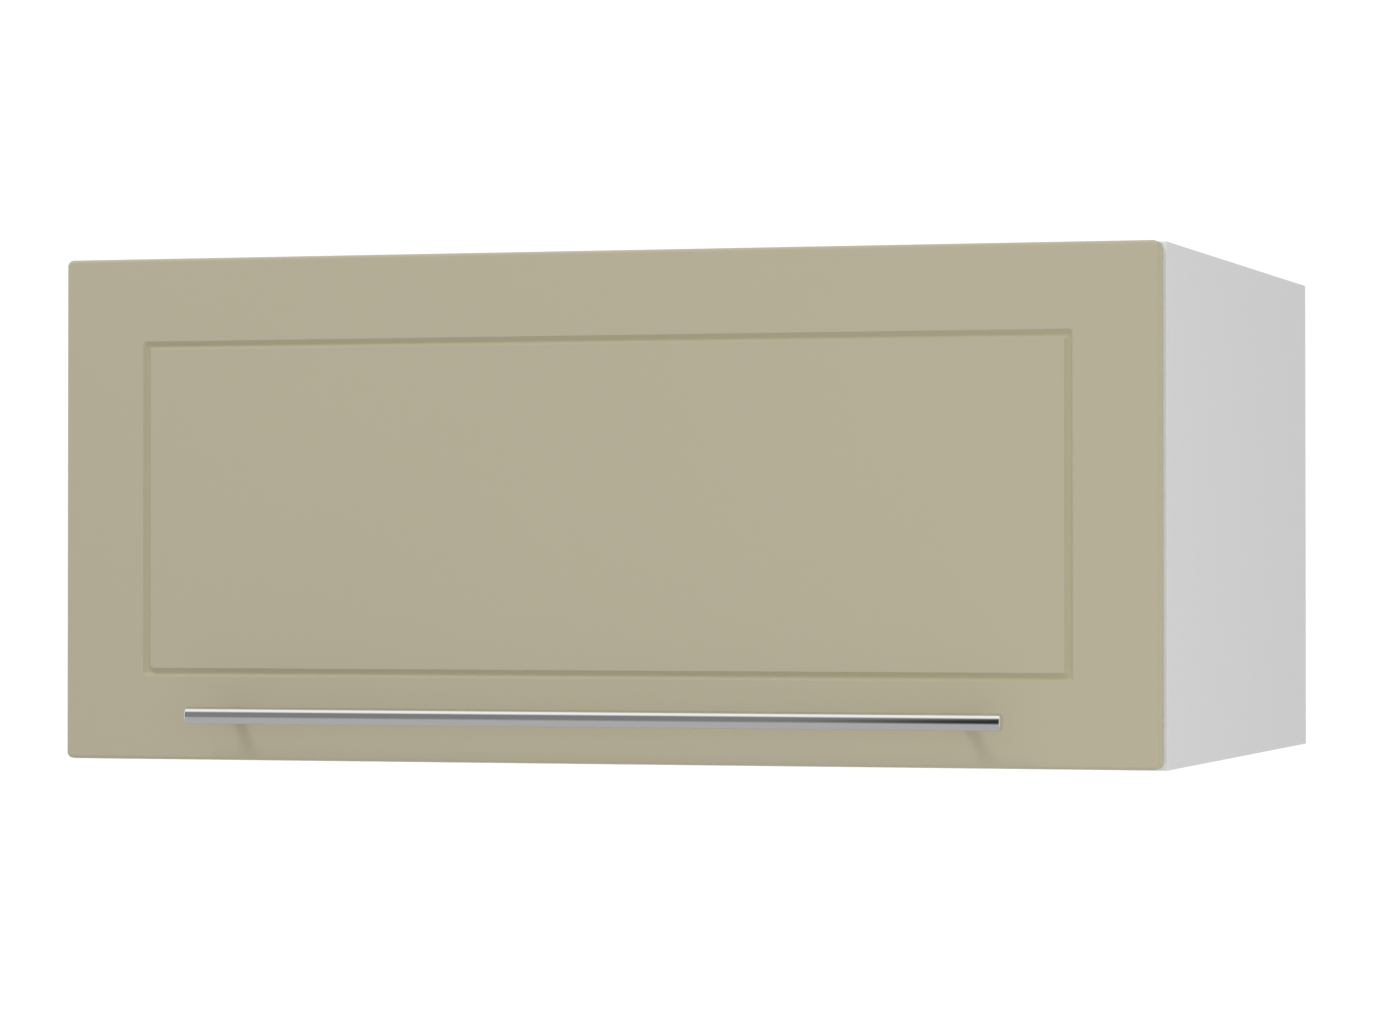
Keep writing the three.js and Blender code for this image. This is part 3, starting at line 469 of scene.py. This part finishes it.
def joined(surfaces):
    # several surfaces as one, each one's point numbers counted on from the last
    starts = np.cumsum([0] + [len(points) for points, _, _ in surfaces])
    points = np.concatenate([surface[0] for surface in surfaces])
    quads = np.concatenate([surface[1] + start for surface, start in zip(surfaces, starts)])
    caps = [cap + start for surface, start in zip(surfaces, starts) for cap in surface[2]]
    return points, quads, caps


def smoothByAngle(mesh, degrees):
    # smooth, but for the edges that turn by more than so many degrees
    mesh.shade_smooth()
    mesh.set_sharp_from_angle(angle=radians(degrees))


usualAngle = 30    # degrees from which an edge is sharp


def addPiece(name, surface, material, smoothAngle=usualAngle):
    # a surface as an object at the origin, its faces turned outwards
    points, quads, caps = surface
    mesh = bpy.data.meshes.new(name)
    mesh.from_pydata(points.tolist(), [], quads.tolist() + [cap.tolist() for cap in caps])
    mesh.validate()
    shell = bmesh.new()
    shell.from_mesh(mesh)
    bmesh.ops.recalc_face_normals(shell, faces=shell.faces)
    shell.to_mesh(mesh)
    shell.free()
    mesh.materials.append(materials[material])
    smoothByAngle(mesh, smoothAngle)
    piece = bpy.data.objects.new(name, mesh)
    bpy.context.scene.collection.objects.link(piece)
    return piece


def applyModifiers(piece):
    # the finished mesh takes the place of the plain one
    bpy.context.view_layer.update()
    ready = piece.evaluated_get(bpy.context.evaluated_depsgraph_get())
    mesh = bpy.data.meshes.new_from_object(ready)
    piece.modifiers.clear()
    old = piece.data
    piece.data = mesh
    mesh.name = piece.name
    bpy.data.meshes.remove(old)


def carve(piece, surfaces):
    # takes closed surfaces out of a piece
    cutters = [addPiece("cutter", surface, "screwSteel") for surface in surfaces]
    for cutter in cutters:
        modifier = piece.modifiers.new("carve", "BOOLEAN")
        modifier.operation = "DIFFERENCE"
        modifier.object = cutter
        modifier.solver = "EXACT"
    applyModifiers(piece)
    for cutter in cutters:
        bpy.data.objects.remove(cutter)


finishing = {"mergeDistance": 0.002 * mm, "flatAngle": 0.6, "edgeSegments": 2}


def dress(node, material, bevel):
    # a finished copy of a solid: merged, its flats made whole, its edges softly broken
    mesh = frame["nodes"][node].data.copy()
    mesh.name = node + "_finished"
    shell = bmesh.new()
    shell.from_mesh(mesh)
    bmesh.ops.remove_doubles(shell, verts=shell.verts, dist=finishing["mergeDistance"])
    flat = radians(finishing["flatAngle"])
    bmesh.ops.dissolve_limit(shell, angle_limit=flat, verts=shell.verts, edges=shell.edges)
    shell.to_mesh(mesh)
    shell.free()
    mesh.materials.clear()
    mesh.materials.append(materials[material])
    piece = bpy.data.objects.new(node + "_finished", mesh)
    bpy.context.scene.collection.objects.link(piece)
    smoothByAngle(mesh, usualAngle)
    modifier = piece.modifiers.new("softEdges", "BEVEL")
    modifier.width = bevel
    modifier.segments = finishing["edgeSegments"]
    modifier.limit_method = "ANGLE"
    modifier.angle_limit = radians(usualAngle)
    modifier.harden_normals = True
    applyModifiers(piece)
    return piece


def settle(piece, body, nodes=()):
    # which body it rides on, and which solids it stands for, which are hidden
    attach(piece, body)
    if nodes:
        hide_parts(*nodes)


door = {
    "cornerRadius": 4.5 * mm,
    "edgeRadius": 2.5 * mm,
    "grooveInset": 62 * mm,
    "grooveHalf": 3.0 * mm,
    "grooveDepth": 2.4 * mm,
    "grooveLip": 1.25,       # 1 is a plain parabola, and more rounds its lips
    "grooveOuterCorner": 2.4 * mm,
    "grooveInnerCorner": 2.2 * mm,
    "rearRound": 0.4 * mm,
    "holdGap": 0.25 * mm,    # extra row beside a curve, which keeps the flats flat
    "cornerSteps": 14,
    "grooveSteps": 26,
    "edgeSteps": 12,
    "smoothAngle": 25,
    "cupBore": 17.5 * mm,
    "cupBoreGap": 0.2 * mm,
    "cupBoreSteps": 96,
    "screwBore": 2.3 * mm,
    "screwBoreSteps": 32,
    "boreOverrun": 2.0 * mm,
    "boreInside": (2.5 * mm, 1.25 * mm),     # bores lie farther inside than this, across and up
    "rearWithin": 0.01 * mm,      # a face so near to the rear is the rear
    "boreBelowGroove": 0.1 * mm,  # a face so much deeper than the groove is in a bore
}
cup = {"rimRadius": 18.2 * mm, "screwDrop": 9.5 * mm, "screwReach": 22.5 * mm}


def cupCentre(sideName):
    # the cup's rim is its highest part
    low, high = nodeBox("hinge_cup_" + sideName)
    return np.array([(low[0] + high[0]) / 2, high[1], high[2] - cup["rimRadius"]])


def doorRows():
    # rows of (inset from the outline, depth from the face, corner radius), from the field to the
    # rear; across the groove, with s from -1 to 1, the depth is (1 - s squared) to the power of
    # its lip, the front edge is a quarter round, and the rear edge is one in two steps
    inset, half = door["grooveInset"], door["grooveHalf"]
    outer, inner = door["grooveOuterCorner"], door["grooveInnerCorner"]
    rows = [(inset + half + door["holdGap"], 0.0, inner)]
    for share in np.sin(np.linspace(pi / 2, -pi / 2, door["grooveSteps"] + 1)):
        fall = door["grooveDepth"] * (1 - share ** 2) ** door["grooveLip"]
        rows.append((inset + half * share, fall, outer + (share + 1) / 2 * (inner - outer)))
    rows.append((inset - half - door["holdGap"], 0.0, outer))
    edge, corner = door["edgeRadius"], door["cornerRadius"]
    rows.append((edge + door["holdGap"], 0.0, corner - edge))
    for angle in np.linspace(0, pi / 2, door["edgeSteps"] + 1):
        step = edge * (1 - sin(angle))
        rows.append((step, edge * (1 - cos(angle)), corner - step))
    thickness = doorHigh[1] - doorLow[1]
    lip = door["rearRound"]
    rows.append((0.0, edge + door["holdGap"], corner))
    rows.append((0.0, thickness - lip, corner))
    rows.append((lip / 3, thickness - lip / 3, corner - lip / 3))
    rows.append((lip, thickness, corner - lip))
    return rows


def roundedLoop(half, radius, steps):
    # a rectangle of half sizes (x, z) with round corners, as points in one turn
    turn = np.arange(4)[:, None] * pi / 2 + np.linspace(0, pi / 2, steps + 1)[None]
    signs = np.array([[1, 1], [-1, 1], [-1, -1], [1, -1]])[:, None, :]
    centre = signs * (np.array(half) - radius)
    arc = radius * np.stack([np.cos(turn), np.sin(turn)], axis=-1)
    return (centre + arc).reshape(-1, 2)


def doorSurface():
    # one rounded rectangle for each row, drawn in by its inset and set back by its depth
    middle = (doorLow + doorHigh) / 2
    half = (doorHigh - doorLow)[[0, 2]] / 2
    rows = doorRows()
    loops = np.empty((len(rows), 4 * (door["cornerSteps"] + 1), 3))
    for loop, (inset, depth, radius) in zip(loops, rows):
        loop[:, [0, 2]] = middle[[0, 2]] + roundedLoop(half - inset, radius, door["cornerSteps"])
        loop[:, 1] = doorLow[1] + depth
    return closedTube(loops)


def doorBores():
    # plain cylinders: the cups' end in the board, and the handle screws' go through it
    bores = []
    for sideName in sides:
        centre = cupCentre(sideName)
        bottom = nodeBox("hinge_cup_" + sideName)[0][1] - door["cupBoreGap"]
        past = doorHigh[1] + door["boreOverrun"]
        profile = [(door["cupBore"], 0), (door["cupBore"], past - bottom)]
        origin = (centre[0], bottom, centre[2])
        bores.append(turnedSurface(profile, origin, (0, 1, 0), door["cupBoreSteps"]))
        screw = nodeMiddle("handle_screw_" + sideName)
        start = doorLow[1] - door["boreOverrun"]
        profile = [(door["screwBore"], 0), (door["screwBore"], past - start)]
        origin = (screw[0], start, screw[2])
        bores.append(turnedSurface(profile, origin, (0, 1, 0), door["screwBoreSteps"]))
    return bores


def paintDoor(mesh):
    # foil on the front and the edges, melamine on the rear, raw board in the bores
    mesh.materials.clear()
    for name in ("doorFoil", "doorRear", "rawFibreboard"):
        mesh.materials.append(materials[name])
    centres = np.empty(len(mesh.polygons) * 3)
    mesh.polygons.foreach_get("center", centres)
    across, depth, height = centres.reshape(-1, 3).T
    aside, upright = door["boreInside"]
    within = (across > doorLow[0] + aside) & (across < doorHigh[0] - aside)
    within &= (height > doorLow[2] + upright) & (height < doorHigh[2] - upright)
    isRear = depth > doorHigh[1] - door["rearWithin"]
    isBore = within & ~isRear & (depth > doorLow[1] + door["grooveDepth"] + door["boreBelowGroove"])
    mesh.polygons.foreach_set("material_index", (isRear + 2 * isBore).astype(np.int32))


def makeDoor():
    piece = addPiece("door_board", doorSurface(), "doorFoil")
    carve(piece, doorBores())
    paintDoor(piece.data)
    smoothByAngle(piece.data, door["smoothAngle"])
    settle(piece, "door", ["door_panel"])
    print("door made:", len(piece.data.polygons), "faces")


makeDoor()


handle = {
    "endRound": 0.7 * mm,
    "postNeck": 4.0 * mm,
    "postFoot": 5.0 * mm,
    "footLength": 3.0 * mm,
    "footRound": 0.6 * mm,
    "footEdge": 0.2 * mm,
    "neckFillet": 0.4 * mm,
    "saddleGap": 0.1 * mm,
    "holdGap": 0.1 * mm,     # extra ring beside the bar's end round
    "endMiddle": 0.05,       # share of the radius at which the bar's flat end is closed
    "endSteps": 6,
    "bendSteps": 5,
    "barSteps": 128,
    "postSteps": 64,
    "barSmoothAngle": 40,
    "postSmoothAngle": 35,
}
barRadius = (barHigh[2] - barLow[2]) / 2
barMiddle = (barLow + barHigh) / 2


def makeBar():
    # the profile's end is a quarter round, mirrored at the other end
    length = barHigh[0] - barLow[0]
    edge, hold = handle["endRound"], handle["holdGap"]
    turn = np.linspace(0, pi / 2, handle["endSteps"] + 1)
    end = np.stack([barRadius - edge + edge * np.sin(turn), edge - edge * np.cos(turn)], axis=-1)
    flat = np.array([[barRadius * handle["endMiddle"], 0.0], [barRadius - edge - hold, 0.0]])
    profile = np.concatenate([flat, end, [[barRadius, edge + hold]]])
    mirrored = profile[::-1] * [1, -1] + [0, length]
    origin = (barLow[0], barMiddle[1], barMiddle[2])
    surface = turnedSurface(np.concatenate([profile, mirrored]), origin, (1, 0, 0), handle["barSteps"])
    piece = addPiece("bar", surface, "handleSteel", handle["barSmoothAngle"])
    settle(piece, "door", ["handle_bar"])


def postProfile(length):
    # rows of (radius, height) from the door: a foot with a round shoulder, a fillet and the neck
    foot, neck, shoulder = handle["postFoot"], handle["postNeck"], handle["footRound"]
    edge, fillet, top = handle["footEdge"], handle["neckFillet"], handle["footLength"]
    bend = np.linspace(0, pi / 2, handle["bendSteps"] + 1)
    along, across = 1 - np.cos(bend), 1 - np.sin(bend)
    rounded = np.stack([foot - shoulder * along, top - shoulder * across], axis=-1)
    reach = foot - shoulder - neck
    filleted = np.stack([neck + reach * across, top + fillet * along], axis=-1)
    return np.concatenate([[[foot - edge, 0.0], [foot, edge]], rounded, filleted, [[neck, length]]])


def makePost(sideName):
    node = "handle_post_" + sideName
    middle = nodeMiddle(node)
    footEnd = nodeBox(node)[1][1]
    profile = postProfile(footEnd - barMiddle[1])
    origin = (middle[0], footEnd, middle[2])
    points, quads, caps = turnedSurface(profile, origin, (0, -1, 0), handle["postSteps"])
    # the end is drawn back onto the round of the bar
    tip = points[:, 1] < barMiddle[1] + barRadius
    rise = points[:, 2] - barMiddle[2]
    reach = np.sqrt(np.maximum((barRadius + handle["saddleGap"]) ** 2 - rise ** 2, 0))
    points[tip, 1] = barMiddle[1] + reach[tip]
    surface = (points, quads, caps)
    piece = addPiece("post_" + sideName, surface, "handleSteel", handle["postSmoothAngle"])
    settle(piece, "door", [node])


makeBar()
for sideName in sides:
    makePost(sideName)
print("handle made")


# boards, fittings and hangers are finished copies of the solids: (material, width of the soft edge)

finishes = {
    "side_panel": ("whiteBoard", 0.5 * mm),
    "top_panel": ("whiteBoard", 0.5 * mm),
    "bottom_panel": ("whiteBoard", 0.5 * mm),
    "back_panel": ("backBoard", 0.2 * mm),
    "cam_bolt": ("screwSteel", 0.1 * mm),
    "cam": ("zincCasting", 0.2 * mm),
    "handle_screw": ("screwSteel", 0.4 * mm),
    "door_bumper": ("clearPad", 0.4 * mm),
    "hinge_cup": ("hingeNickel", 0.15 * mm),
    "hinge_arm": ("hingeNickel", 0.25 * mm),
    "hinge_plate": ("zincCasting", 0.3 * mm),
    "hinge_outer_link": ("hingeNickel", 0.15 * mm),
    "hinge_inner_link": ("hingeNickel", 0.15 * mm),
    "lift_housing": ("casePaint", 1.0 * mm),
    "lift_cover": ("whitePlastic", 0.8 * mm),
    "lift_arm": ("leverPaint", 0.4 * mm),
    "lift_link": ("leverPaint", 0.4 * mm),
    "lift_bracket": ("zincCasting", 0.3 * mm),
    "hanger_housing": ("whitePlastic", 0.6 * mm),
    "hanger_carriage": ("zincCasting", 0.2 * mm),
    "hanger_hook": ("zincCasting", 0.3 * mm),
    "hanger_depth_screw": ("screwSteel", 0.2 * mm),
    "hanger_height_screw": ("screwSteel", 0.2 * mm),
}
# driver crosses: which way the face looks, half the cross's length and width, and its depth
crosses = {
    "cam_top": ((0, 0, -1), 4.6 * mm, 0.7 * mm, 1.5 * mm),
    "cam_bottom": ((0, 0, 1), 4.6 * mm, 0.7 * mm, 1.5 * mm),
    "handle_screw": ((0, 1, 0), 2.4 * mm, 0.5 * mm, 1.2 * mm),
    "hanger_depth_screw": ((0, -1, 0), 2.6 * mm, 0.55 * mm, 1.4 * mm),
    "hanger_height_screw": ((0, -1, 0), 2.6 * mm, 0.55 * mm, 1.4 * mm),
}
ownPieces = {"door_panel", "handle_bar", "handle_post_left", "handle_post_right"}
sidePlay = {"hinge_inner_link": 0.12 * mm}    # drawn in at both sides, to pass the open cup's wall


def longestStart(node, table):
    # the table's entry for the longest key that the node's name starts with
    starts = [start for start in table if node.startswith(start)]
    return table[max(starts, key=len)] if starts else None


crossOverrun = 0.5 * mm


def crossSurface(face, axis, reach, half, depth, turn=0.0):
    # a cross-shaped prism from just outside the face to its depth below: one arm's three points,
    # carried round in four quarter turns
    arm = np.array([[reach, -half], [reach, half], [half, half]])
    angle = turn + np.arange(4)[:, None] * pi / 2
    x = arm[:, 0] * np.cos(angle) - arm[:, 1] * np.sin(angle)
    y = arm[:, 0] * np.sin(angle) + arm[:, 1] * np.cos(angle)
    rows = np.zeros((2, x.size, 3))
    rows[:, :, 0] = x.ravel()
    rows[:, :, 1] = y.ravel()
    rows[:, :, 2] = np.array([[-depth], [crossOverrun]])
    return closedTube(placed(rows, axis, face))


def drawIn(mesh, node, play):
    # no point of the mesh stays nearer to the sides of the solid's box than the play
    low, high = nodeBox(node)
    points = np.empty(len(mesh.vertices) * 3)
    mesh.vertices.foreach_get("co", points)
    points[::3] = np.clip(points[::3], low[0] + play, high[0] - play)
    mesh.vertices.foreach_set("co", points)
    mesh.update()


def faceMiddle(node, axis):
    # the middle of the face that looks along the axis, on the solid's box
    low, high = nodeBox(node)
    return (low + high) / 2 + (high - low) / 2 * np.array(axis)


def makeFinished(node):
    # a dressed copy, drawn in or cut with a cross where the tables say so
    material, bevel = longestStart(node, finishes)
    piece = dress(node, material, bevel)
    play = longestStart(node, sidePlay)
    if play:
        drawIn(piece.data, node, play)
    cross = longestStart(node, crosses)
    if cross:
        axis, reach, half, depth = cross
        carve(piece, [crossSurface(faceMiddle(node, axis), axis, reach, half, depth)])
        smoothByAngle(piece.data, usualAngle)
    settle(piece, bodyOf[node], [node])


for node in sorted(set(frame["nodes"]) - ownPieces):
    makeFinished(node)
print("finished copies made")


screw = {
    "rings": 10,
    "steps": 48,
    "smoothAngle": 40,
    "poleShare": 0.02,       # share of the radius at which the dome is closed
    "domeFall": 0.7,         # share of the height by which the rim lies lower
    "sink": 0.1 * mm,
    "crossReach": 0.58,      # shares of the head's radius
    "crossHalf": 0.13,
    "crossDepth": 0.75,      # share of the head's height
}


def headSurface(face, axis, radius, height):
    # the height falls with the square of the distance from the middle
    share = np.linspace(1, screw["poleShare"], screw["rings"])
    dome = np.stack([radius * share, height * (1 - screw["domeFall"] * share ** 2)], axis=-1)
    profile = np.concatenate([[[radius, -screw["sink"]]], dome])
    return turnedSurface(profile, face, axis, screw["steps"])


def headCross(face, axis, radius, height, turn):
    # the cross is cut from the top of the dome, in shares of the head's size
    top = np.array(face) + np.array(axis) * height
    reach, half = radius * screw["crossReach"], radius * screw["crossHalf"]
    return crossSurface(top, axis, reach, half, height * screw["crossDepth"], turn)


def addHeads(name, body, heads, rivets=()):
    # a head is (place, axis, radius, height, turn of its cross), and a rivet has no cross
    domes = [headSurface(*head[:4]) for head in heads] + [headSurface(*rivet) for rivet in rivets]
    piece = addPiece(name, joined(domes), "screwSteel", screw["smoothAngle"])
    carve(piece, [headCross(*head) for head in heads])
    smoothByAngle(piece.data, screw["smoothAngle"])
    settle(piece, body)


hinge = {
    "plateScrewReach": 16 * mm,  # hinge's middle to each of the plate's screws
    "plateSetback": 37 * mm,     # board's front edge to the plate's screws
    "wing": 2.0 * mm,            # thickness of the plate's wings
    "armScrewBack": 17 * mm,     # plate's rear end to the screw in the arm's slot
    "armScrewDown": 1.6 * mm,    # plate's underside to that screw's head, sunk a little in the web
    "armHalf": 9.6 * mm,         # half the arm's width
    "cupHead": (3.6 * mm, 1.4 * mm),     # radius and height
    "plateHead": (3.5 * mm, 1.5 * mm),
    "armHead": (3.9 * mm, 1.7 * mm),
    "rivet": (1.7 * mm, 0.5 * mm),
    "cupTurns": (-0.6, 1.4),     # how far each screw's cross has turned, in radians
    "plateTurns": (-0.7, 0.7),
    "armTurn": 0.3,
}


def hingeHeads(sideName):
    # the cup's screws ride on the door; the plate's, the slot's and the arm's rivets stay
    x, cupFace, cupHeight = cupCentre(sideName)
    z = cupHeight - cup["screwDrop"]
    addHeads("hinge_cup_screws_" + sideName, "door", [
        ((x + k * cup["screwReach"], cupFace, z), (0, 1, 0), *hinge["cupHead"], turn)
        for k, turn in zip(bothWays, hinge["cupTurns"])])
    low, high = nodeBox("hinge_plate_" + sideName)
    down = (0, 0, -1)
    y, z = carcassFront + hinge["plateSetback"], high[2] - hinge["wing"]
    heads = [((x + k * hinge["plateScrewReach"], y, z), down, *hinge["plateHead"], turn)
             for k, turn in zip(bothWays, hinge["plateTurns"])]
    inSlot = (x, high[1] - hinge["armScrewBack"], low[2] - hinge["armScrewDown"])
    heads.append((inSlot, down, *hinge["armHead"], hinge["armTurn"]))
    pins = [jointPlace(joint + sideName) for joint in ("outer_link_turn_", "inner_link_turn_")]
    rivets = [((x + k * hinge["armHalf"], pin[1], pin[2]), (k, 0, 0), *hinge["rivet"])
              for pin in pins for k in bothWays]
    addHeads("hinge_screws_" + sideName, "carcass", heads, rivets)


lift = {
    "footScrewIn": 8.5 * mm,     # foot's outer edge to its screws
    "footScrewReach": 16 * mm,
    "footThickness": 2.4 * mm,
    "footGap": 0.2 * mm,         # door's rear to the foot
    "adjusterDrop": 70 * mm,     # housing's top to the adjuster
    "adjusterIn": 9 * mm,        # housing's outer face to the adjuster
    "adjusterDeep": 7 * mm,      # housing's front to the back of the adjuster's head
    "footHead": (3.5 * mm, 1.3 * mm),
    "adjusterHead": (4.1 * mm, 1.8 * mm),
    "footTurns": (-0.9, 0.9),    # how far each screw's cross has turned, in radians
    "adjusterTurn": 0.2,
}


def outerFace(low, high, side):
    return high[0] if side > 0 else low[0]


def liftHeads(sideName, side):
    # the bracket's screws ride on the door; the adjuster sits in the bore in the housing's front
    low, high = nodeBox("lift_bracket_" + sideName)
    x = outerFace(low, high, side) - side * lift["footScrewIn"]
    y = doorHigh[1] + lift["footGap"] + lift["footThickness"]
    middle = (low[2] + high[2]) / 2
    addHeads("lift_bracket_screws_" + sideName, "door", [
        ((x, y, middle + k * lift["footScrewReach"]), (0, 1, 0), *lift["footHead"], turn)
        for k, turn in zip(bothWays, lift["footTurns"])])
    low, high = nodeBox("lift_housing_" + sideName)
    x = outerFace(low, high, side) - side * lift["adjusterIn"]
    place = (x, low[1] + lift["adjusterDeep"], high[2] - lift["adjusterDrop"])
    head = (place, (0, -1, 0), *lift["adjusterHead"], lift["adjusterTurn"])
    addHeads("lift_adjuster_" + sideName, "carcass", [head])


for sideName, side in sides.items():
    hingeHeads(sideName)
    liftHeads(sideName, side)
print("screws made")


stage = {
    "floorDrop": 1.55,       # the cabinet hangs this far over the floor
    "floorHalf": 30.0,
    "floorColour": (0.82, 0.82, 0.82, 1.0),
    "floorSeen": (0.97, 0.97, 0.97, 1.0),    # to the camera, metal and glass
    "floorGlow": 0.34,       # for the same rays: lifts the lit floor to white and leaves the shadow
    "floorRoughness": 0.9,
    "white": (1.0, 1.0, 1.0, 1.0),
    "ambient": 0.70,
    "backdrop": 1.05,        # the white that the camera, metal and glass see
    "lampTarget": (0.0, -0.4, -0.2),
}


def seenDirectly(tree):
    # 1 for the camera's rays and for those mirrored or passed on to it
    path = addNode(tree, "ShaderNodeLightPath").outputs
    seen = maths(tree, "MAXIMUM", path["Is Camera Ray"], path["Is Glossy Ray"])
    return maths(tree, "MAXIMUM", seen, path["Is Transmission Ray"])


def makeFloor():
    # takes light and shadow, and is seen as white
    height = cadBox[0][2] - stage["floorDrop"]
    half = stage["floorHalf"]
    corners = [(-half, -half, height), (half, -half, height), (half, half, height), (-half, half, height)]
    mesh = bpy.data.meshes.new("floor")
    mesh.from_pydata(corners, [], [(0, 1, 2, 3)])
    floor = bpy.data.objects.new("floor", mesh)
    bpy.context.scene.collection.objects.link(floor)
    paint = {"Roughness": stage["floorRoughness"], "Emission Color": stage["white"]}
    material, tree, bsdf = newMaterial("floorPaint", paint)
    seen = seenDirectly(tree)
    colour = blendColours(tree, seen, stage["floorColour"], stage["floorSeen"])
    tree.links.new(colour, bsdf.inputs["Base Color"])
    tree.links.new(maths(tree, "MULTIPLY", seen, stage["floorGlow"]), bsdf.inputs["Emission Strength"])
    mesh.materials.append(material)


reflectionCard = {
    "distance": 3.0,         # a glowing sheet that only the metal shows: a painted reflection of dark and grey bands
    "half": 2.6,
    "near": 1.5,             # its lower part runs on under the cabinet as far as this
    "low": -1.88,
    "high": 3.6,
    "dark": (0.025, 0.025, 0.025, 1.0),
    "grey": (0.25, 0.25, 0.25, 1.0),
    "pale": (0.90, 0.90, 0.90, 1.0),
    "haze": (0.49, 0.49, 0.495, 1.0),
    "fadeAcross": (-0.33, -0.52),    # from dark to grey, going left
    "fadeUp": (1.8, 3.4),            # from grey to pale
    "fadeDown": (-0.75, -1.88),      # from grey to haze
}


def makeReflectionCard():
    # emission, painted as a reflection for the metal: dark on the right, grey on the left, mixed towards pale
    # above and haze below; a ray that has left a matt surface before finds it pale, so the light the door gets by
    # way of the bar is painted pale and lifts the shade under it
    x, y = reflectionCard["half"], -reflectionCard["distance"]
    low, high, near = reflectionCard["low"], reflectionCard["high"], reflectionCard["near"]
    mesh = bpy.data.meshes.new("darkReflectionCard")
    corners = [(-x, y, low), (x, y, low), (x, y, high), (-x, y, high), (-x, near, low), (x, near, low)]
    mesh.from_pydata(corners, [], [(3, 2, 1, 0), (0, 1, 5, 4)])
    sheet = bpy.data.objects.new("darkReflectionCard", mesh)
    bpy.context.scene.collection.objects.link(sheet)
    material = bpy.data.materials.new("darkReflectionCard")
    material.use_nodes = True
    tree = material.node_tree
    tree.nodes.clear()
    place = addNode(tree, "ShaderNodeSeparateXYZ", {"Vector": objectPoint(tree)}).outputs
    across = remap(tree, place["X"], 0.0, 1.0, *reflectionCard["fadeAcross"])
    up = remap(tree, place["Z"], 0.0, 1.0, *reflectionCard["fadeUp"])
    down = remap(tree, place["Z"], 0.0, 1.0, *reflectionCard["fadeDown"])
    tone = blendColours(tree, across, reflectionCard["dark"], reflectionCard["grey"])
    tone = blendColours(tree, up, tone, reflectionCard["pale"])
    tone = blendColours(tree, down, tone, reflectionCard["haze"])
    bounces = addNode(tree, "ShaderNodeLightPath").outputs["Diffuse Depth"]
    tone = blendColours(tree, maths(tree, "MINIMUM", bounces, 1.0), tone, reflectionCard["pale"])
    light = addNode(tree, "ShaderNodeEmission", {"Color": tone})
    output = addNode(tree, "ShaderNodeOutputMaterial")
    tree.links.new(light.outputs["Emission"], output.inputs["Surface"])
    mesh.materials.append(material)
    for ray in ("camera", "diffuse", "transmission", "volume_scatter", "shadow"):
        setattr(sheet, "visible_" + ray, False)


def makeWorld():
    # one strength for the light on matt surfaces, another for what is seen directly
    world = bpy.data.worlds.new("studio")
    bpy.context.scene.world = world
    world.use_nodes = True
    tree = world.node_tree
    tree.nodes.clear()
    strength = remap(tree, seenDirectly(tree), stage["ambient"], stage["backdrop"])
    light = {"Color": stage["white"], "Strength": strength}
    background = addNode(tree, "ShaderNodeBackground", light)
    output = addNode(tree, "ShaderNodeOutputWorld")
    tree.links.new(background.outputs["Background"], output.inputs["Surface"])


# both are soft; only the one above casts a shadow
lamps = {
    "fill": {"place": (1.3, -1.97, -0.45), "size": 1.2, "watts": 8.9, "shadow": False},
    "above": {"place": (-1.17, -2.04, 2.6), "size": 1.2, "watts": 42.0, "shadow": True},
}


def makeLamp(name, look):
    data = bpy.data.lights.new(name, "AREA")
    data.size = look["size"]
    data.energy = look["watts"]
    data.use_shadow = look["shadow"]
    thing = bpy.data.objects.new(name, data)
    bpy.context.scene.collection.objects.link(thing)
    thing.location = look["place"]
    thing.visible_glossy = False
    direction = Vector(stage["lampTarget"]) - thing.location
    thing.rotation_euler = direction.to_track_quat("-Z", "Y").to_euler()


# fitted to the photo's edges
camera = {
    "lens": 131.35,
    "sensor": 36.0,
    "place": (1.061, -3.894, -0.2145),
    "turn": (90.74, 0.0, 16.67),
}


def makeCamera():
    data = bpy.data.cameras.new("photoCamera")
    data.lens = camera["lens"]
    data.sensor_width = camera["sensor"]
    thing = bpy.data.objects.new("photoCamera", data)
    bpy.context.scene.collection.objects.link(thing)
    thing.location = camera["place"]
    thing.rotation_euler = [radians(angle) for angle in camera["turn"]]
    bpy.context.scene.camera = thing


makeFloor()
makeReflectionCard()
makeWorld()
for name, look in lamps.items():
    makeLamp(name, look)
makeCamera()
bpy.context.scene.view_settings.view_transform = "Standard"
print("stage made")
